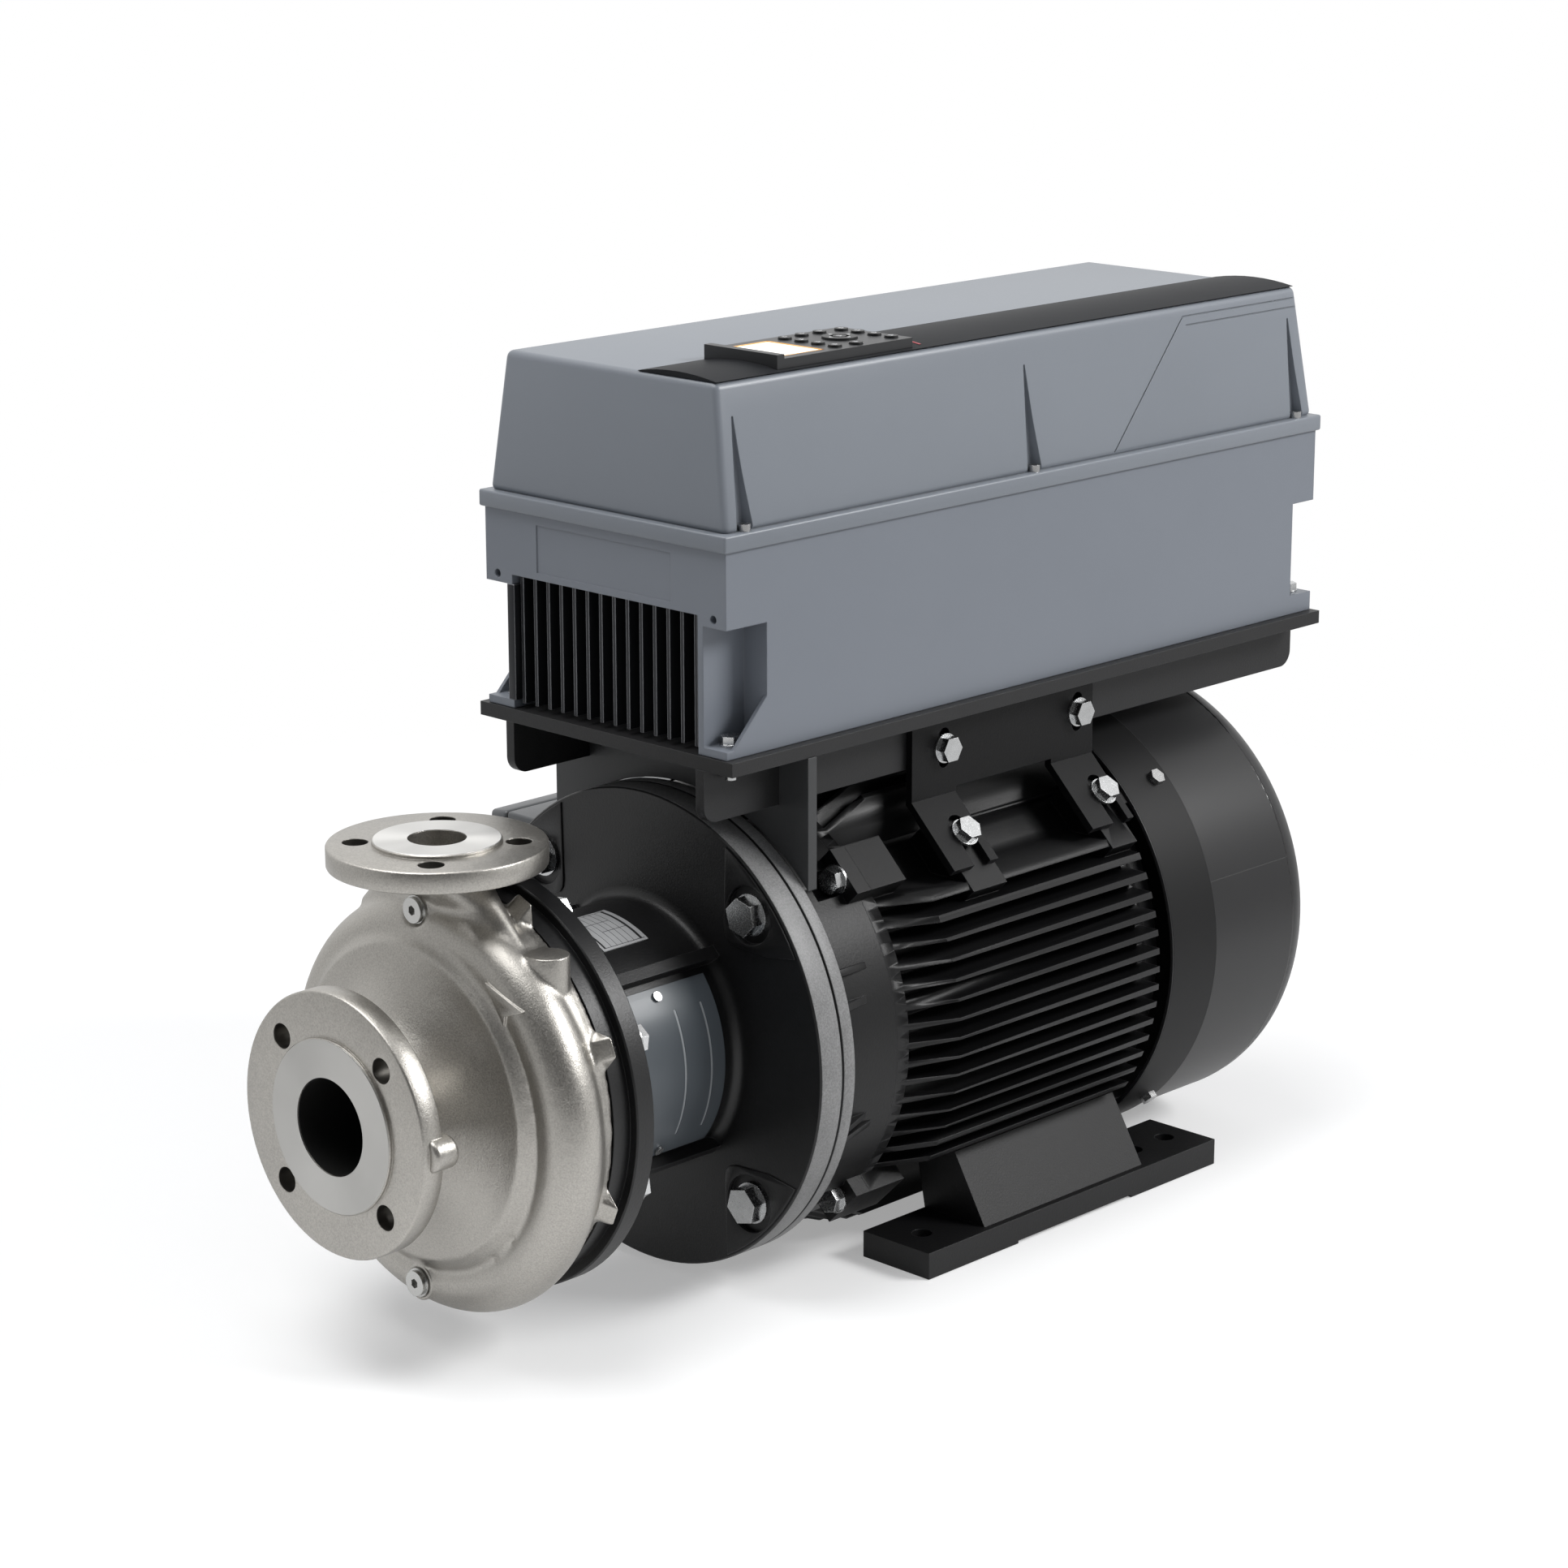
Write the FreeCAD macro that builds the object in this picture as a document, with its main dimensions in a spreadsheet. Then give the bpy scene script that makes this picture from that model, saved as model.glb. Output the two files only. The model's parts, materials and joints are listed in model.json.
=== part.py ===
import FreeCAD, Part
import os
import math
import Sketcher

# Close-coupled end-suction pump with a flange motor and a frequency drive on top.
# Millimetres. The origin is the centre of the suction flange's raised face, +X runs along
# the shaft towards the motor, +Z is up and -Y is the side with the volute's widest part.

V = FreeCAD.Vector

SIZES = {
    # suction flange, 65 mm nominal bore, 16 bar drilling
    "suction_face_radius": 61,
    "suction_face_height": 3,
    "suction_flange_radius": 92.5,
    "suction_flange_back": 20,
    "suction_bore": 34,
    "suction_bolt_ring": 72.5,
    "flange_hole": 9,
    "edge_break": 1,
    # bell between the suction flange and the volute
    "neck_front": 26,
    "neck_radius": 49,
    "neck_root": 54,
    "bell_sweep": 75,
    "bell_rim_front": 69,
    "bell_rim_radius": 112,
    "bell_rim_back": 72,
    "bell_rim_crest": 113.5,
    "ridge_front": 74,
    "ridge_radius": 118,
    "ridge_back": 77,
    "shell_back": 104,
    "back_flange_front": 106,
    "back_flange_radius": 144,
    "back_flange_rise": 6,
    "flange_step_front": 118,
    "flange_step_radius": 142.8,
    "casing_back": 125,
    # volute shell and its water passage, both set off towards the outlet side
    "volute_centre": 97,
    "volute_ring": 125,
    "volute_half": 22,
    "volute_shift": 5.7,
    "passage_centre": 95,
    "passage_ring": 121,
    "passage_half": 15,
    "passage_sweep": 335,
    "chamber_front": 63,
    "ring_seat_front": 51,
    "ring_seat_radius": 45,
    "chamber_waist": 66,
    "chamber_waist_radius": 80,
    "chamber_shoulder": 74,
    "chamber_shoulder_radius": 104,
    "chamber_corner": 78,
    "chamber_radius": 110,
    "spigot_front": 107,
    "spigot_radius": 114,
    # discharge flange, 40 mm nominal bore
    "discharge_x": 100,
    "discharge_face": 180,
    "discharge_face_radius": 44,
    "discharge_flange_radius": 75,
    "discharge_flange_top": 177,
    "discharge_flange_low": 162,
    "discharge_bolt_ring": 55,
    "discharge_bore": 20,
    "outlet_neck_side": 39,
    "outlet_neck_half": 30,
    "outlet_mid_side": 47,
    "outlet_mid_half": 26,
    "outlet_mid_height": 153,
    "outlet_wide_side": 61,
    "outlet_wide_half": 20,
    "outlet_wide_height": 140,
    "outlet_foot_side": 82,
    "outlet_foot_half": 19,
    "outlet_foot_height": 120,
    "outlet_lean": 2,
    "throat_radius": 13,
    "throat_low": 116,
    "throat_high": 136,
    "bore_low": 160,
    "nut_space_radius": 17,
    "nut_space_floor": 143,
    # bosses of the volute shell
    "boss_front": 116,
    "boss_front_half": 8,
    "boss_low": 134,
    "boss_foot_half": 18.5,
    "boss_top": 156.5,
    "boss_top_half": 7,
    "tap_boss_x": 110.5,
    "tap_boss_y": 97,
    "tap_boss_radius": 14.4,
    "tap_boss_top": 117,
    "tap_boss_height": 38,
    "tap_tip_front": 14,
    "tap_tip_side": 24.5,
    "plug_boss_radius": 13,
    "vent_face": 80.5,
    "vent_height": 134,
    "drain_face": 74,
    "drain_height": 132,
    "plug_boss_length": 28,
    "rim_boss_y": 84,
    "rim_boss_radius": 10,
    "rim_boss_front": 9,
    "rim_boss_length": 16,
    # hexagon-socket screw plugs with sealing washers
    "plug_thread": 6.6,
    "plug_depth": 14,
    "plug_collar": 9,
    "plug_collar_height": 3,
    "washer_rim": 10.2,
    "washer_height": 1.5,
    "socket_corner": 3.5,
    "socket_depth": 6,
    # wear ring
    "ring_back": 63,
    "ring_bore": 38.3,
    # impeller, 200 mm
    "eye_front": 52,
    "eye_rim": 38,
    "eye_bore": 33.5,
    "eye_back": 64,
    "shroud_turn": 68,
    "shroud_turn_radius": 44,
    "shroud_tip_front": 84,
    "impeller_radius": 100,
    "shroud_tip_back": 88,
    "shroud_inner_turn": 73,
    "shroud_inner_radius": 46,
    "eye_inner_back": 66,
    "hub_front": 76,
    "hub_radius": 22,
    "plate_front": 97,
    "plate_back": 101,
    "hub_back_radius": 24,
    "hub_back": 110,
    "hub_flare": 12,
    "hub_flare_length": 8,
    "hub_back_flare": 6,
    "blade_inner": 36,
    "blade_tip_side": 97,
    "blade_tip_up": 27,
    "blade_sweep": 62,
    "blade_thickness": 4,
    "blade_front": 66,
    "blade_count": 6,
    # stub shaft of the pump
    "thread_front": 58,
    "thread_radius": 10,
    "seat_radius": 14,
    "seal_shaft_radius": 19,
    "shaft_collar_front": 160,
    "collar_length": 10,
    "collar_rise": 8,
    "sleeve_radius": 37,
    "sleeve_back": 300,
    "sleeve_floor": 198,
    "nut_front": 62,
    "nut_corner": 17,
    "nut_height": 12,
    "nut_collar": 19,
    "nut_collar_height": 2,
    "impeller_key_front": 82,
    "impeller_key_length": 22,
    "impeller_key_width": 8,
    "impeller_key_low": 10,
    "impeller_key_high": 17,
    # cover with the seal chamber
    "cover_bore": 30,
    "cover_step_radius": 62,
    "cover_step_back": 131,
    "cover_nose_radius": 42,
    "cover_nose_mid": 134,
    "cover_nose_back": 150,
    "seat_pocket_back": 144,
    "cover_lip_bore": 22,
    "ring_groove_front": 111,
    "ring_groove_back": 116,
    "ring_groove_floor": 109.6,
    "seal_cord": 2.2,
    # mechanical shaft seal with a rubber bellows
    "seat_ring_bore": 20,
    "seat_ring_radius": 29.9,
    "seat_ring_front": 136,
    "head_front": 126,
    "head_radius": 27,
    "head_nose": 25,
    "head_nose_front": 132,
    "bellows_front": 111,
    "bellows_wave": 25,
    "bellows_root": 22,
    "bellows_pitch": 3,
    # motor stool
    "stool_front": 125,
    "hub_outer": 143,
    "disc_front": 140,
    "disc_back": 156,
    "disc_radius": 150,
    "barrel_radius": 95,
    "barrel_bore": 86,
    "barrel_fillet": 8,
    "stool_flange_front": 290,
    "stool_back": 312,
    "motor_flange_radius": 175,
    "stool_front_bore": 64,
    "stool_wall_back": 162,
    "spigot_recess": 307,
    "flange_spigot": 125,
    "casing_bolt_ring": 136,
    "stool_web": 9,
    "stool_web_top": 104,
    "window_front": 168,
    "window_length": 104,
    "window_height": 120,
    "window_depth": 80,
    "bolt_pocket": 21,
    "bolt_pocket_depth": 3,
    "motor_bolt_ring": 150,
    # guard plates over the windows
    "guard_radius": 97,
    "guard_length": 111,
    "guard_angle": 78,
    "slot_angle": 56,
    "slot_width": 2,
    "slot_front": 236,
    "slot_second": 261,
    "guard_screw_head": 3.6,
    "guard_screw_height": 2,
    "guard_screw_thread": 2,
    "guard_screw_length": 7,
    "guard_screw_front": 180,
    "guard_screw_back": 226,
    "guard_screw_lean": 35,
    # blank name plate on the barrel
    "label_front": 210,
    "label_length": 42,
    "label_angle": 28,
    "label_thickness": 0.8,
    # M12 bolts of the casing
    "m12_radius": 6,
    "m12_corner": 10.4,
    "m12_head": 7.5,
    "m12_length": 45,
    "m12_washer": 12,
    "m12_washer_height": 2,
    "m12_clearance": 6.8,
    # M16 bolts between the stool and the motor
    "m16_radius": 8,
    "m16_corner": 13.9,
    "m16_head": 10,
    "m16_length": 50,
    "m16_washer": 15,
    "m16_washer_height": 2.5,
    "m16_clearance": 9,
    "m16_nut": 13,
    # motor shields
    "motor_flange_back": 325,
    "shield_radius": 165,
    "frame_front": 378,
    "shield_wall": 152,
    "shield_cavity": 345,
    "bearing_seat": 55,
    "front_bearing_front": 330,
    "bearing_width": 27,
    "bearing_house": 68,
    "bearing_house_back": 362,
    "shield_lip": 40,
    "shield_seal_bore": 26,
    "shield_web_back": 334,
    "shield_web_rise": 12,
    "shield_web_foot": 8,
    "shield_lip_depth": 8,
    "gusset_reach": 30,
    "gusset_height": 9,
    "gusset_width": 5,
    "lug_radius": 178,
    "lug_half": 19,
    "lug_low": 146,
    "lug_front": 364,
    "lug_back": 414,
    "lug_bolt_ring": 168,
    "lug_room_front": 340,
    # finned frame
    "frame_back": 655,
    "frame_outer": 152,
    "frame_bore": 138,
    "rear_ring": 12,
    "fin_ring_back": 390,
    "fin_rise_back": 428,
    "fin_radius": 180,
    "fin_end": 651,
    "fin_pitch": 14,
    "fin_thickness": 4.6,
    "fin_root": 96,
    "fin_depth": 90,
    "fin_sink": 6,
    "pad_half": 18,
    "pad_upper": 20,
    "pad_lower": 43,
    "pad_low": 140,
    "pad_high": 177,
    # stator and rotor
    "core_front": 430,
    "core_length": 170,
    "stator_bore": 92,
    "winding_inner": 97,
    "winding_outer": 130,
    "winding_length": 34,
    "rotor_radius": 91.4,
    "rotor_bore": 34,
    "rotor_seat_reach": 20,
    "end_ring_inner": 62,
    "end_ring_outer": 90,
    "end_ring_length": 12,
    "motor_shaft_front": 202,
    "motor_shaft_radius": 24,
    "motor_shaft_step": 312,
    "bearing_shaft": 25,
    "rear_bearing_front": 662,
    "fan_shaft_radius": 19,
    "fan_shaft_back": 800,
    "shaft_key_front": 215,
    "shaft_key_length": 78,
    "shaft_key_width": 14,
    "shaft_key_low": 18.5,
    "shaft_key_high": 27.8,
    # ball bearings 50 x 110 x 27
    "race_outer": 47,
    "race_inner": 33,
    "race_middle": 40,
    "race_groove": 9.8,
    "groove_half": 6.5,
    "ball_radius": 9.4,
    "ball_count": 8,
    # rear shield, fan and fan cover
    "rear_shield_back": 668,
    "rear_shield_radius": 163,
    "rear_shield_inner": 150,
    "rear_house_back": 694,
    "rear_web_front": 680,
    "rear_web_dish": 30,
    "fan_front": 745,
    "fan_hub_radius": 34,
    "fan_hub_length": 46,
    "fan_plate_radius": 150,
    "fan_plate_length": 4,
    "fan_blade_radius": 158,
    "fan_blade_length": 34,
    "fan_blade_thickness": 3,
    "fan_blade_count": 7,
    "cover_band_front": 668,
    "cover_band_back": 721,
    "cover_band_radius": 179,
    "cover_radius": 177,
    "cover_wall": 2.5,
    "cover_turn": 817,
    "cover_end_radius": 158,
    "cover_end": 845,
    "cover_screw_x": 706,
    "cover_screw_corner": 6.4,
    "cover_screw_head": 5,
    "cover_screw_radius": 4,
    "cover_lug_half": 11,
    "grille_slot_front": 842,
    "grille_slot_width": 7,
    "grille_inner": 46,
    "grille_angle": 79,
    # motor feet
    "foot_front": 407,
    "foot_length": 329,
    "foot_inner": 106,
    "foot_width": 64.5,
    "foot_thickness": 20,
    "shaft_height": 180,
    "foot_hole": 7.5,
    "foot_hole_side": 139.5,
    "foot_hole_front": 433.3,
    "foot_hole_middle": 674.3,
    "foot_hole_back": 712.3,
    "relief_front": 505,
    "relief_length": 130,
    "relief_depth": 2,
    "web_front": 473.3,
    "web_length": 180.2,
    "web_outer": 165,
    "web_top_outer": 135,
    "web_top_height": 109,
    "web_top_inner": 96,
    # terminal box
    "terminal_front": 372,
    "terminal_length": 186,
    "terminal_half": 98,
    "terminal_inner": 182,
    "terminal_seam": 236,
    "terminal_outer": 258,
    "terminal_wall": 5,
    "terminal_neck_half": 50,
    "terminal_neck_front": 410,
    "terminal_neck_length": 110,
    "gland_radius": 12,
    # plate, rails and brackets under the drive
    "deck_front": 253,
    "deck_length": 653,
    "deck_half": 127.3,
    "deck_low": 215,
    "deck_thickness": 10,
    "rail_inner": 92,
    "rail_thickness": 8,
    "rail_low": 177,
    "rail_corner": 12,
    "cross_front": 326,
    "cross_thickness": 8.5,
    "cross_half": 128,
    "cross_gap": 175.4,
    "cross_leg_low": 105.2,
    "bracket_front": 456,
    "bracket_length": 200,
    "bracket_thickness": 6,
    "bracket_leg_width": 47,
    "bracket_plane": 177,
    "bracket_leg_low": 26,
    "bracket_slot_half": 8.5,
    "bracket_slot_top": 7.5,
    "bracket_bend": 153.5,
    "bracket_gap_top": 157,
    "rail_slot_half": 5.5,
    "rail_slot_reach": 9.5,
    "rail_bolt_height": 188,
    "bracket_bolt_front": 490,
    "bracket_bolt_back": 638,
    "leg_bolt_front": 486,
    "leg_bolt_back": 641,
    # M10 bolts of the brackets
    "m10_radius": 5,
    "m10_corner": 9.8,
    "m10_head": 7,
    "m10_length": 22,
    "m10_washer": 11,
    "m10_washer_height": 2,
    # M8 bolts that hold the drive down
    "m8_radius": 4,
    "m8_corner": 7.5,
    "m8_head": 5.3,
    "m8_length": 24,
    "m8_washer": 8,
    "m8_washer_height": 1.6,
    "m8_side": 107,
    "m8_front": 272,
    "m8_back": 890,
    # drive housing
    "drive_front": 255,
    "drive_back": 903,
    "drive_half": 120,
    "drive_low": 225.3,
    "drive_seam": 368,
    "drive_wall": 4,
    "sink_open_half": 93,
    "sink_open_top": 322,
    "pocket_length": 39,
    "pocket_depth": 22,
    "pocket_low": 231,
    "pocket_high": 315,
    "pocket_slant_x": 262,
    "pocket_skin": 3,
    "pocket_slant_height": 264,
    "drive_step_height": 313,
    "drive_step_back": 877,
    "drive_foot_top": 240,
    "port_radius": 3,
    "port_side": 108,
    "port_height": 321,
    "port_depth": 7,
    "label_half": 67,
    "label_low": 327,
    "label_high": 361,
    "label_recess": 0.8,
    "sink_front": 259,
    "sink_back": 872,
    "sink_plate_low": 324,
    "sink_plate_thickness": 10,
    "sink_fin_low": 229,
    "sink_fin_thickness": 3,
    "sink_fin_count": 14,
    "sink_fin_pitch": 13.4,
    "sink_plate_half": 91,
    # drive lid
    "lid_rim_front": 251.5,
    "lid_rim_back": 906,
    "lid_rim_half": 123,
    "lid_seam": 380,
    "lid_front": 257,
    "lid_back": 901,
    "lid_half": 118,
    "lid_top_front": 264,
    "lid_top_back": 895,
    "lid_top_left": 106,
    "lid_top_right": 102,
    "lid_top": 479,
    "lid_wall": 9,
    "dent_half": 9,
    "dent_depth": 6.5,
    "dent_tip": 0.6,
    "dent_tip_outer": 108,
    "dent_tip_inner": 105.2,
    "lid_dent_height": 455,
    "lid_dent_front": 276,
    "lid_dent_middle": 572,
    "lid_dent_back": 881,
    "lid_screw_head": 4.5,
    "lid_screw_height": 5,
    "lid_screw_thread": 2.5,
    "lid_screw_length": 14,
    "lid_screw_side": 116.5,
    # dark strip along the lid and the control panel
    "strip_front": 266,
    "strip_back": 893,
    "strip_left": 26,
    "strip_right": 101,
    "strip_crown": 205,
    "panel_front": 328,
    "panel_back": 463,
    "panel_left": 27,
    "panel_right": 97,
    "panel_low": 478,
    "panel_top": 487,
    "panel_lip": 7,
    "panel_lip_rise": 3,
    "key_radius": 4.8,
    "key_gap": 0.4,
    "key_floor": 483.2,
    "key_low": 484.2,
    "key_top": 488.6,
    "key_middle": 62,
    "key_spread": 16,
    "first_row_x": 396,
    "last_row_x": 453,
    "ring_key_x": 426,
    "ring_key_inner": 6.6,
    "ring_key_outer": 12.5,
    "side_key_x": 415,
    "side_key_back_x": 433,
    "side_key_offset": 26,
    "screen_front": 340,
    "screen_length": 42,
    "screen_half": 27,
    "screen_depth": 1,
}

doc = FreeCAD.newDocument("CloseCoupledPump")
sheet = doc.addObject("Spreadsheet::Sheet", "Sizes")
for row, (alias, value) in enumerate(SIZES.items(), start=1):
    sheet.set("A%d" % row, alias)
    sheet.set("B%d" % row, str(value))
    sheet.setAlias("B%d" % row, alias)
doc.recompute()


def terms(text):
    """Splits 'a + b*0.5 - c' into (sign, word, factor)."""
    for term in text.replace("-", "+-").split("+"):
        term = term.strip()
        if term:
            sign = -1 if term.startswith("-") else 1
            word, _, factor = term.lstrip("-").strip().partition("*")
            yield sign, word.strip(), float(factor or 1)


def number(text):
    """The value of a sum of sheet names."""
    return sum(sign * SIZES[word] * factor if word in SIZES else sign * float(word) * factor
               for sign, word, factor in terms(text))


def link(text):
    """The same sum as an expression on the sheet."""
    parts = []
    for sign, word, factor in terms(text):
        name = "Sizes.%s" % word if word in SIZES else word
        parts.append("%s %s * %s" % ("-" if sign < 0 else "+", name, factor))
    return " ".join(parts).lstrip("+ ") or "0"


def bind(thing, path, text):
    """Binds one property to the sheet."""
    thing.setExpression(path, link(text))


def new_body(label):
    made = doc.addObject("PartDesign::Body", label + "_body")
    made.Label = label
    return made


def origin_of(owner, role):
    return [f for f in owner.Origin.OriginFeatures if f.Role == role][0]


def draw(owner, plane, points=(), circles=(), offset="0", turn=0):
    """A sketch on one of the body's own planes. A point is (u, v) or, for an arc that ends
    there, (u, v, radius, side) with side 1 for a centre to the left of the way."""
    made = owner.newObject("Sketcher::SketchObject", owner.Name + "_sketch")
    made.AttachmentSupport = [(origin_of(owner, plane), "")]
    made.MapMode = "FlatFace"
    made.AttachmentOffset = FreeCAD.Placement(V(0, 0, 0), FreeCAD.Rotation(V(0, 0, 1), turn))
    bind(made, "AttachmentOffset.Base.z", offset)
    spots = [V(number(p[0]), number(p[1]), 0) for p in points]
    count = len(points)
    for i in range(count):
        start, end, goal = spots[i], spots[(i + 1) % count], points[(i + 1) % count]
        if len(goal) == 2:
            made.addGeometry(Part.LineSegment(start, end), False)
            continue
        radius = number(goal[2])
        chord = end - start
        half = chord.Length / 2
        to_left = V(-chord.y, chord.x, 0).normalize() * goal[3]
        centre = start + chord * 0.5 + to_left * math.sqrt(radius ** 2 - half ** 2)
        first, last = (start, end) if goal[3] > 0 else (end, start)
        begin = math.atan2(first.y - centre.y, first.x - centre.x)
        finish = math.atan2(last.y - centre.y, last.x - centre.x)
        if finish < begin:
            finish += 2 * math.pi
        circle = Part.Circle(centre, V(0, 0, 1), radius)
        made.addGeometry(Part.ArcOfCircle(circle, begin, finish), False)
    tied = []
    for i in range(count):
        goal = points[(i + 1) % count]
        tied.append((2, 1) if len(goal) == 4 and goal[3] < 0 else (1, 2))
    for i in range(count):
        after = (i + 1) % count
        made.addConstraint(Sketcher.Constraint("Coincident", i, tied[i][1], after, tied[after][0]))
    for i in range(count):
        for kind, text in (("DistanceX", points[i][0]), ("DistanceY", points[i][1])):
            rule = Sketcher.Constraint(kind, -1, 1, i, tied[i][0], number(text))
            made.setExpression("Constraints[%d]" % made.addConstraint(rule), link(text))
        goal = points[(i + 1) % count]
        if len(goal) == 4:
            rule = Sketcher.Constraint("Radius", i, number(goal[2]))
            made.setExpression("Constraints[%d]" % made.addConstraint(rule), link(goal[2]))
    for u, v, radius in circles:
        ring = made.addGeometry(Part.Circle(V(number(u), number(v), 0), V(0, 0, 1), number(radius)), False)
        rule = Sketcher.Constraint("Radius", ring, number(radius))
        made.setExpression("Constraints[%d]" % made.addConstraint(rule), link(radius))
        for kind, text in (("DistanceX", u), ("DistanceY", v)):
            rule = Sketcher.Constraint(kind, -1, 1, ring, 3, number(text))
            made.setExpression("Constraints[%d]" % made.addConstraint(rule), link(text))
    return made


def revolve(owner, points, upright=False, angle=360):
    made = owner.newObject("PartDesign::Revolution", owner.Name + "_turn")
    profile = draw(owner, "XZ_Plane", points)
    made.Profile = profile
    made.ReferenceAxis = (profile, ["V_Axis" if upright else "H_Axis"])
    made.Angle = angle
    owner.Tip = made
    return made


def turned(label, points, upright=False):
    """A body turned about the shaft, or about +Z when upright. Points are (x, radius)."""
    owner = new_body(label)
    revolve(owner, points, upright)
    return owner


def pad(owner, profile, length, middle=False, back=False):
    made = owner.newObject("PartDesign::Pad", owner.Name + "_pad")
    made.Profile = profile
    bind(made, "Length", length)
    made.Midplane = middle
    made.Reversed = back
    owner.Tip = made
    return made


def around(owner, feature, count, sweep=360):
    """Repeats a feature round the shaft."""
    doc.recompute()
    made = owner.newObject("PartDesign::PolarPattern", owner.Name + "_ring")
    made.Originals = [feature]
    made.Axis = (origin_of(owner, "X_Axis"), [""])
    made.Angle = sweep
    made.Occurrences = count
    owner.Tip = made
    return made


TURNS = {
    "x": FreeCAD.Rotation(V(0, 1, 0), 90),
    "-x": FreeCAD.Rotation(V(0, 1, 0), -90),
    "y": FreeCAD.Rotation(V(1, 0, 0), -90),
    "-y": FreeCAD.Rotation(V(1, 0, 0), 90),
    "z": FreeCAD.Rotation(),
    "-z": FreeCAD.Rotation(V(1, 0, 0), 180),
}


def put(thing, spot, way="z"):
    """Places a primitive, its own axis along way, at a spot bound to the sheet."""
    turn = TURNS[way] if isinstance(way, str) else FreeCAD.Rotation(V(0, 0, 1), way)
    thing.Placement = FreeCAD.Placement(V(0, 0, 0), turn)
    for axis, text in zip("xyz", spot):
        bind(thing, "Placement.Base.%s" % axis, text)
    return thing


def cylinder(radius, length, spot=("0", "0", "0"), way="x", angle=None):
    made = doc.addObject("Part::Cylinder", "cylinder")
    bind(made, "Radius", radius)
    bind(made, "Height", length)
    if angle:
        bind(made, "Angle", angle)
    return put(made, spot, way)


def prism(corner, length, spot, way):
    made = doc.addObject("Part::Prism", "hexagon")
    made.Polygon = 6
    bind(made, "Circumradius", corner)
    bind(made, "Height", length)
    return put(made, spot, way)


def cone(low, high, length, spot, way):
    made = doc.addObject("Part::Cone", "cone")
    bind(made, "Radius1", low)
    bind(made, "Radius2", high)
    bind(made, "Height", length)
    return put(made, spot, way)


def box(spot, length, width, height):
    made = doc.addObject("Part::Box", "box")
    bind(made, "Length", length)
    bind(made, "Width", width)
    bind(made, "Height", height)
    return put(made, spot)


def span(x0, x1, y0, y1, z0, z1):
    """A box between six sheet values."""
    def gap(low, high):
        return high + "".join(" %s %s*%g" % ("-" if sign > 0 else "+", word, factor)
                              for sign, word, factor in terms(low))
    return box((x0, y0, z0), gap(x0, x1), gap(y0, y1), gap(z0, z1))


def fuse(*things):
    made = doc.addObject("Part::MultiFuse", "union")
    made.Shapes = list(things)
    return made


def join(first, *others):
    """A union made one piece at a time."""
    for other in others:
        made = doc.addObject("Part::Fuse", "joined")
        made.Base = first
        made.Tool = other
        first = made
    return first


def cut(base, *tools):
    """The base less each tool in turn."""
    for tool in tools:
        made = doc.addObject("Part::Cut", "cut")
        made.Base = base
        made.Tool = tool
        base = made
    return base


def common(*things):
    made = doc.addObject("Part::MultiCommon", "common")
    made.Shapes = list(things)
    return made


def group(*things):
    made = doc.addObject("Part::Compound", "group")
    made.Links = list(things)
    return made


def rolled(thing, angle):
    """A copy turned round the shaft by an angle from +Z towards -Y."""
    made = group(thing)
    made.Placement = FreeCAD.Placement(V(0, 0, 0), FreeCAD.Rotation(V(1, 0, 0), angle))
    return made


def ring(thing, angles):
    return group(*[rolled(thing, a) for a in angles])


def mirrored(thing):
    """The same piece on the +Y side."""
    made = doc.addObject("Part::Mirroring", "mirror")
    made.Source = thing
    made.Normal = V(0, 1, 0)
    return made


def both(thing):
    return group(thing, mirrored(thing))


def named(thing, label):
    thing.Label = label
    return thing


def hex_bolt(size, spot, way, reach):
    """A hexagon bolt with its washer. The spot is the washer's seat and way points outwards."""
    inward = {"x": "-x", "-x": "x", "y": "-y", "-y": "y", "z": "-z", "-z": "z"}[way]
    axis = "xyz".index(way[-1])
    sign = "-" if way.startswith("-") else "+"
    seat = list(spot)
    seat[axis] = "%s %s %s_washer_height" % (spot[axis], sign, size)
    head = prism(size + "_corner", size + "_head", seat, way)
    shank = cylinder(size + "_radius", reach, spot, inward)
    core = cylinder(size + "_radius", size + "_washer_height", spot, way)
    washer = cut(cylinder(size + "_washer", size + "_washer_height", spot, way), core)
    return group(fuse(head, shank, core), washer)


EIGHTHS = [22.5 + 45 * i for i in range(8)]
QUARTERS = [45, 135, 225, 315]

# The casing: flange, bell and back flange turned about the shaft, an eccentric ring for the
# volute shell, the outlet neck, and the cast bosses.
bell = turned("casing_shell", [
    ("0", "0"), ("0", "suction_face_radius - edge_break"),
    ("edge_break", "suction_face_radius"), ("suction_face_height", "suction_face_radius"),
    ("suction_face_height", "suction_flange_radius - edge_break"),
    ("suction_face_height + edge_break", "suction_flange_radius"),
    ("suction_flange_back - edge_break", "suction_flange_radius"),
    ("suction_flange_back", "suction_flange_radius - edge_break"),
    ("suction_flange_back", "neck_root"), ("neck_front", "neck_radius"),
    ("bell_rim_front", "bell_rim_radius - edge_break", "bell_sweep", 1),
    ("bell_rim_front + edge_break", "bell_rim_radius"), ("bell_rim_back", "bell_rim_crest"),
    ("ridge_front", "ridge_radius - edge_break"), ("ridge_front + edge_break", "ridge_radius"),
    ("ridge_back", "ridge_radius + edge_break"),
    ("shell_back", "back_flange_radius - back_flange_rise"),
    ("back_flange_front", "back_flange_radius - edge_break"),
    ("back_flange_front + edge_break", "back_flange_radius"),
    ("flange_step_front", "back_flange_radius"), ("flange_step_front", "flange_step_radius"),
    ("casing_back - edge_break", "flange_step_radius"),
    ("casing_back", "flange_step_radius - edge_break"), ("casing_back", "0")])
volute = doc.addObject("Part::Torus", "volute")
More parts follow.
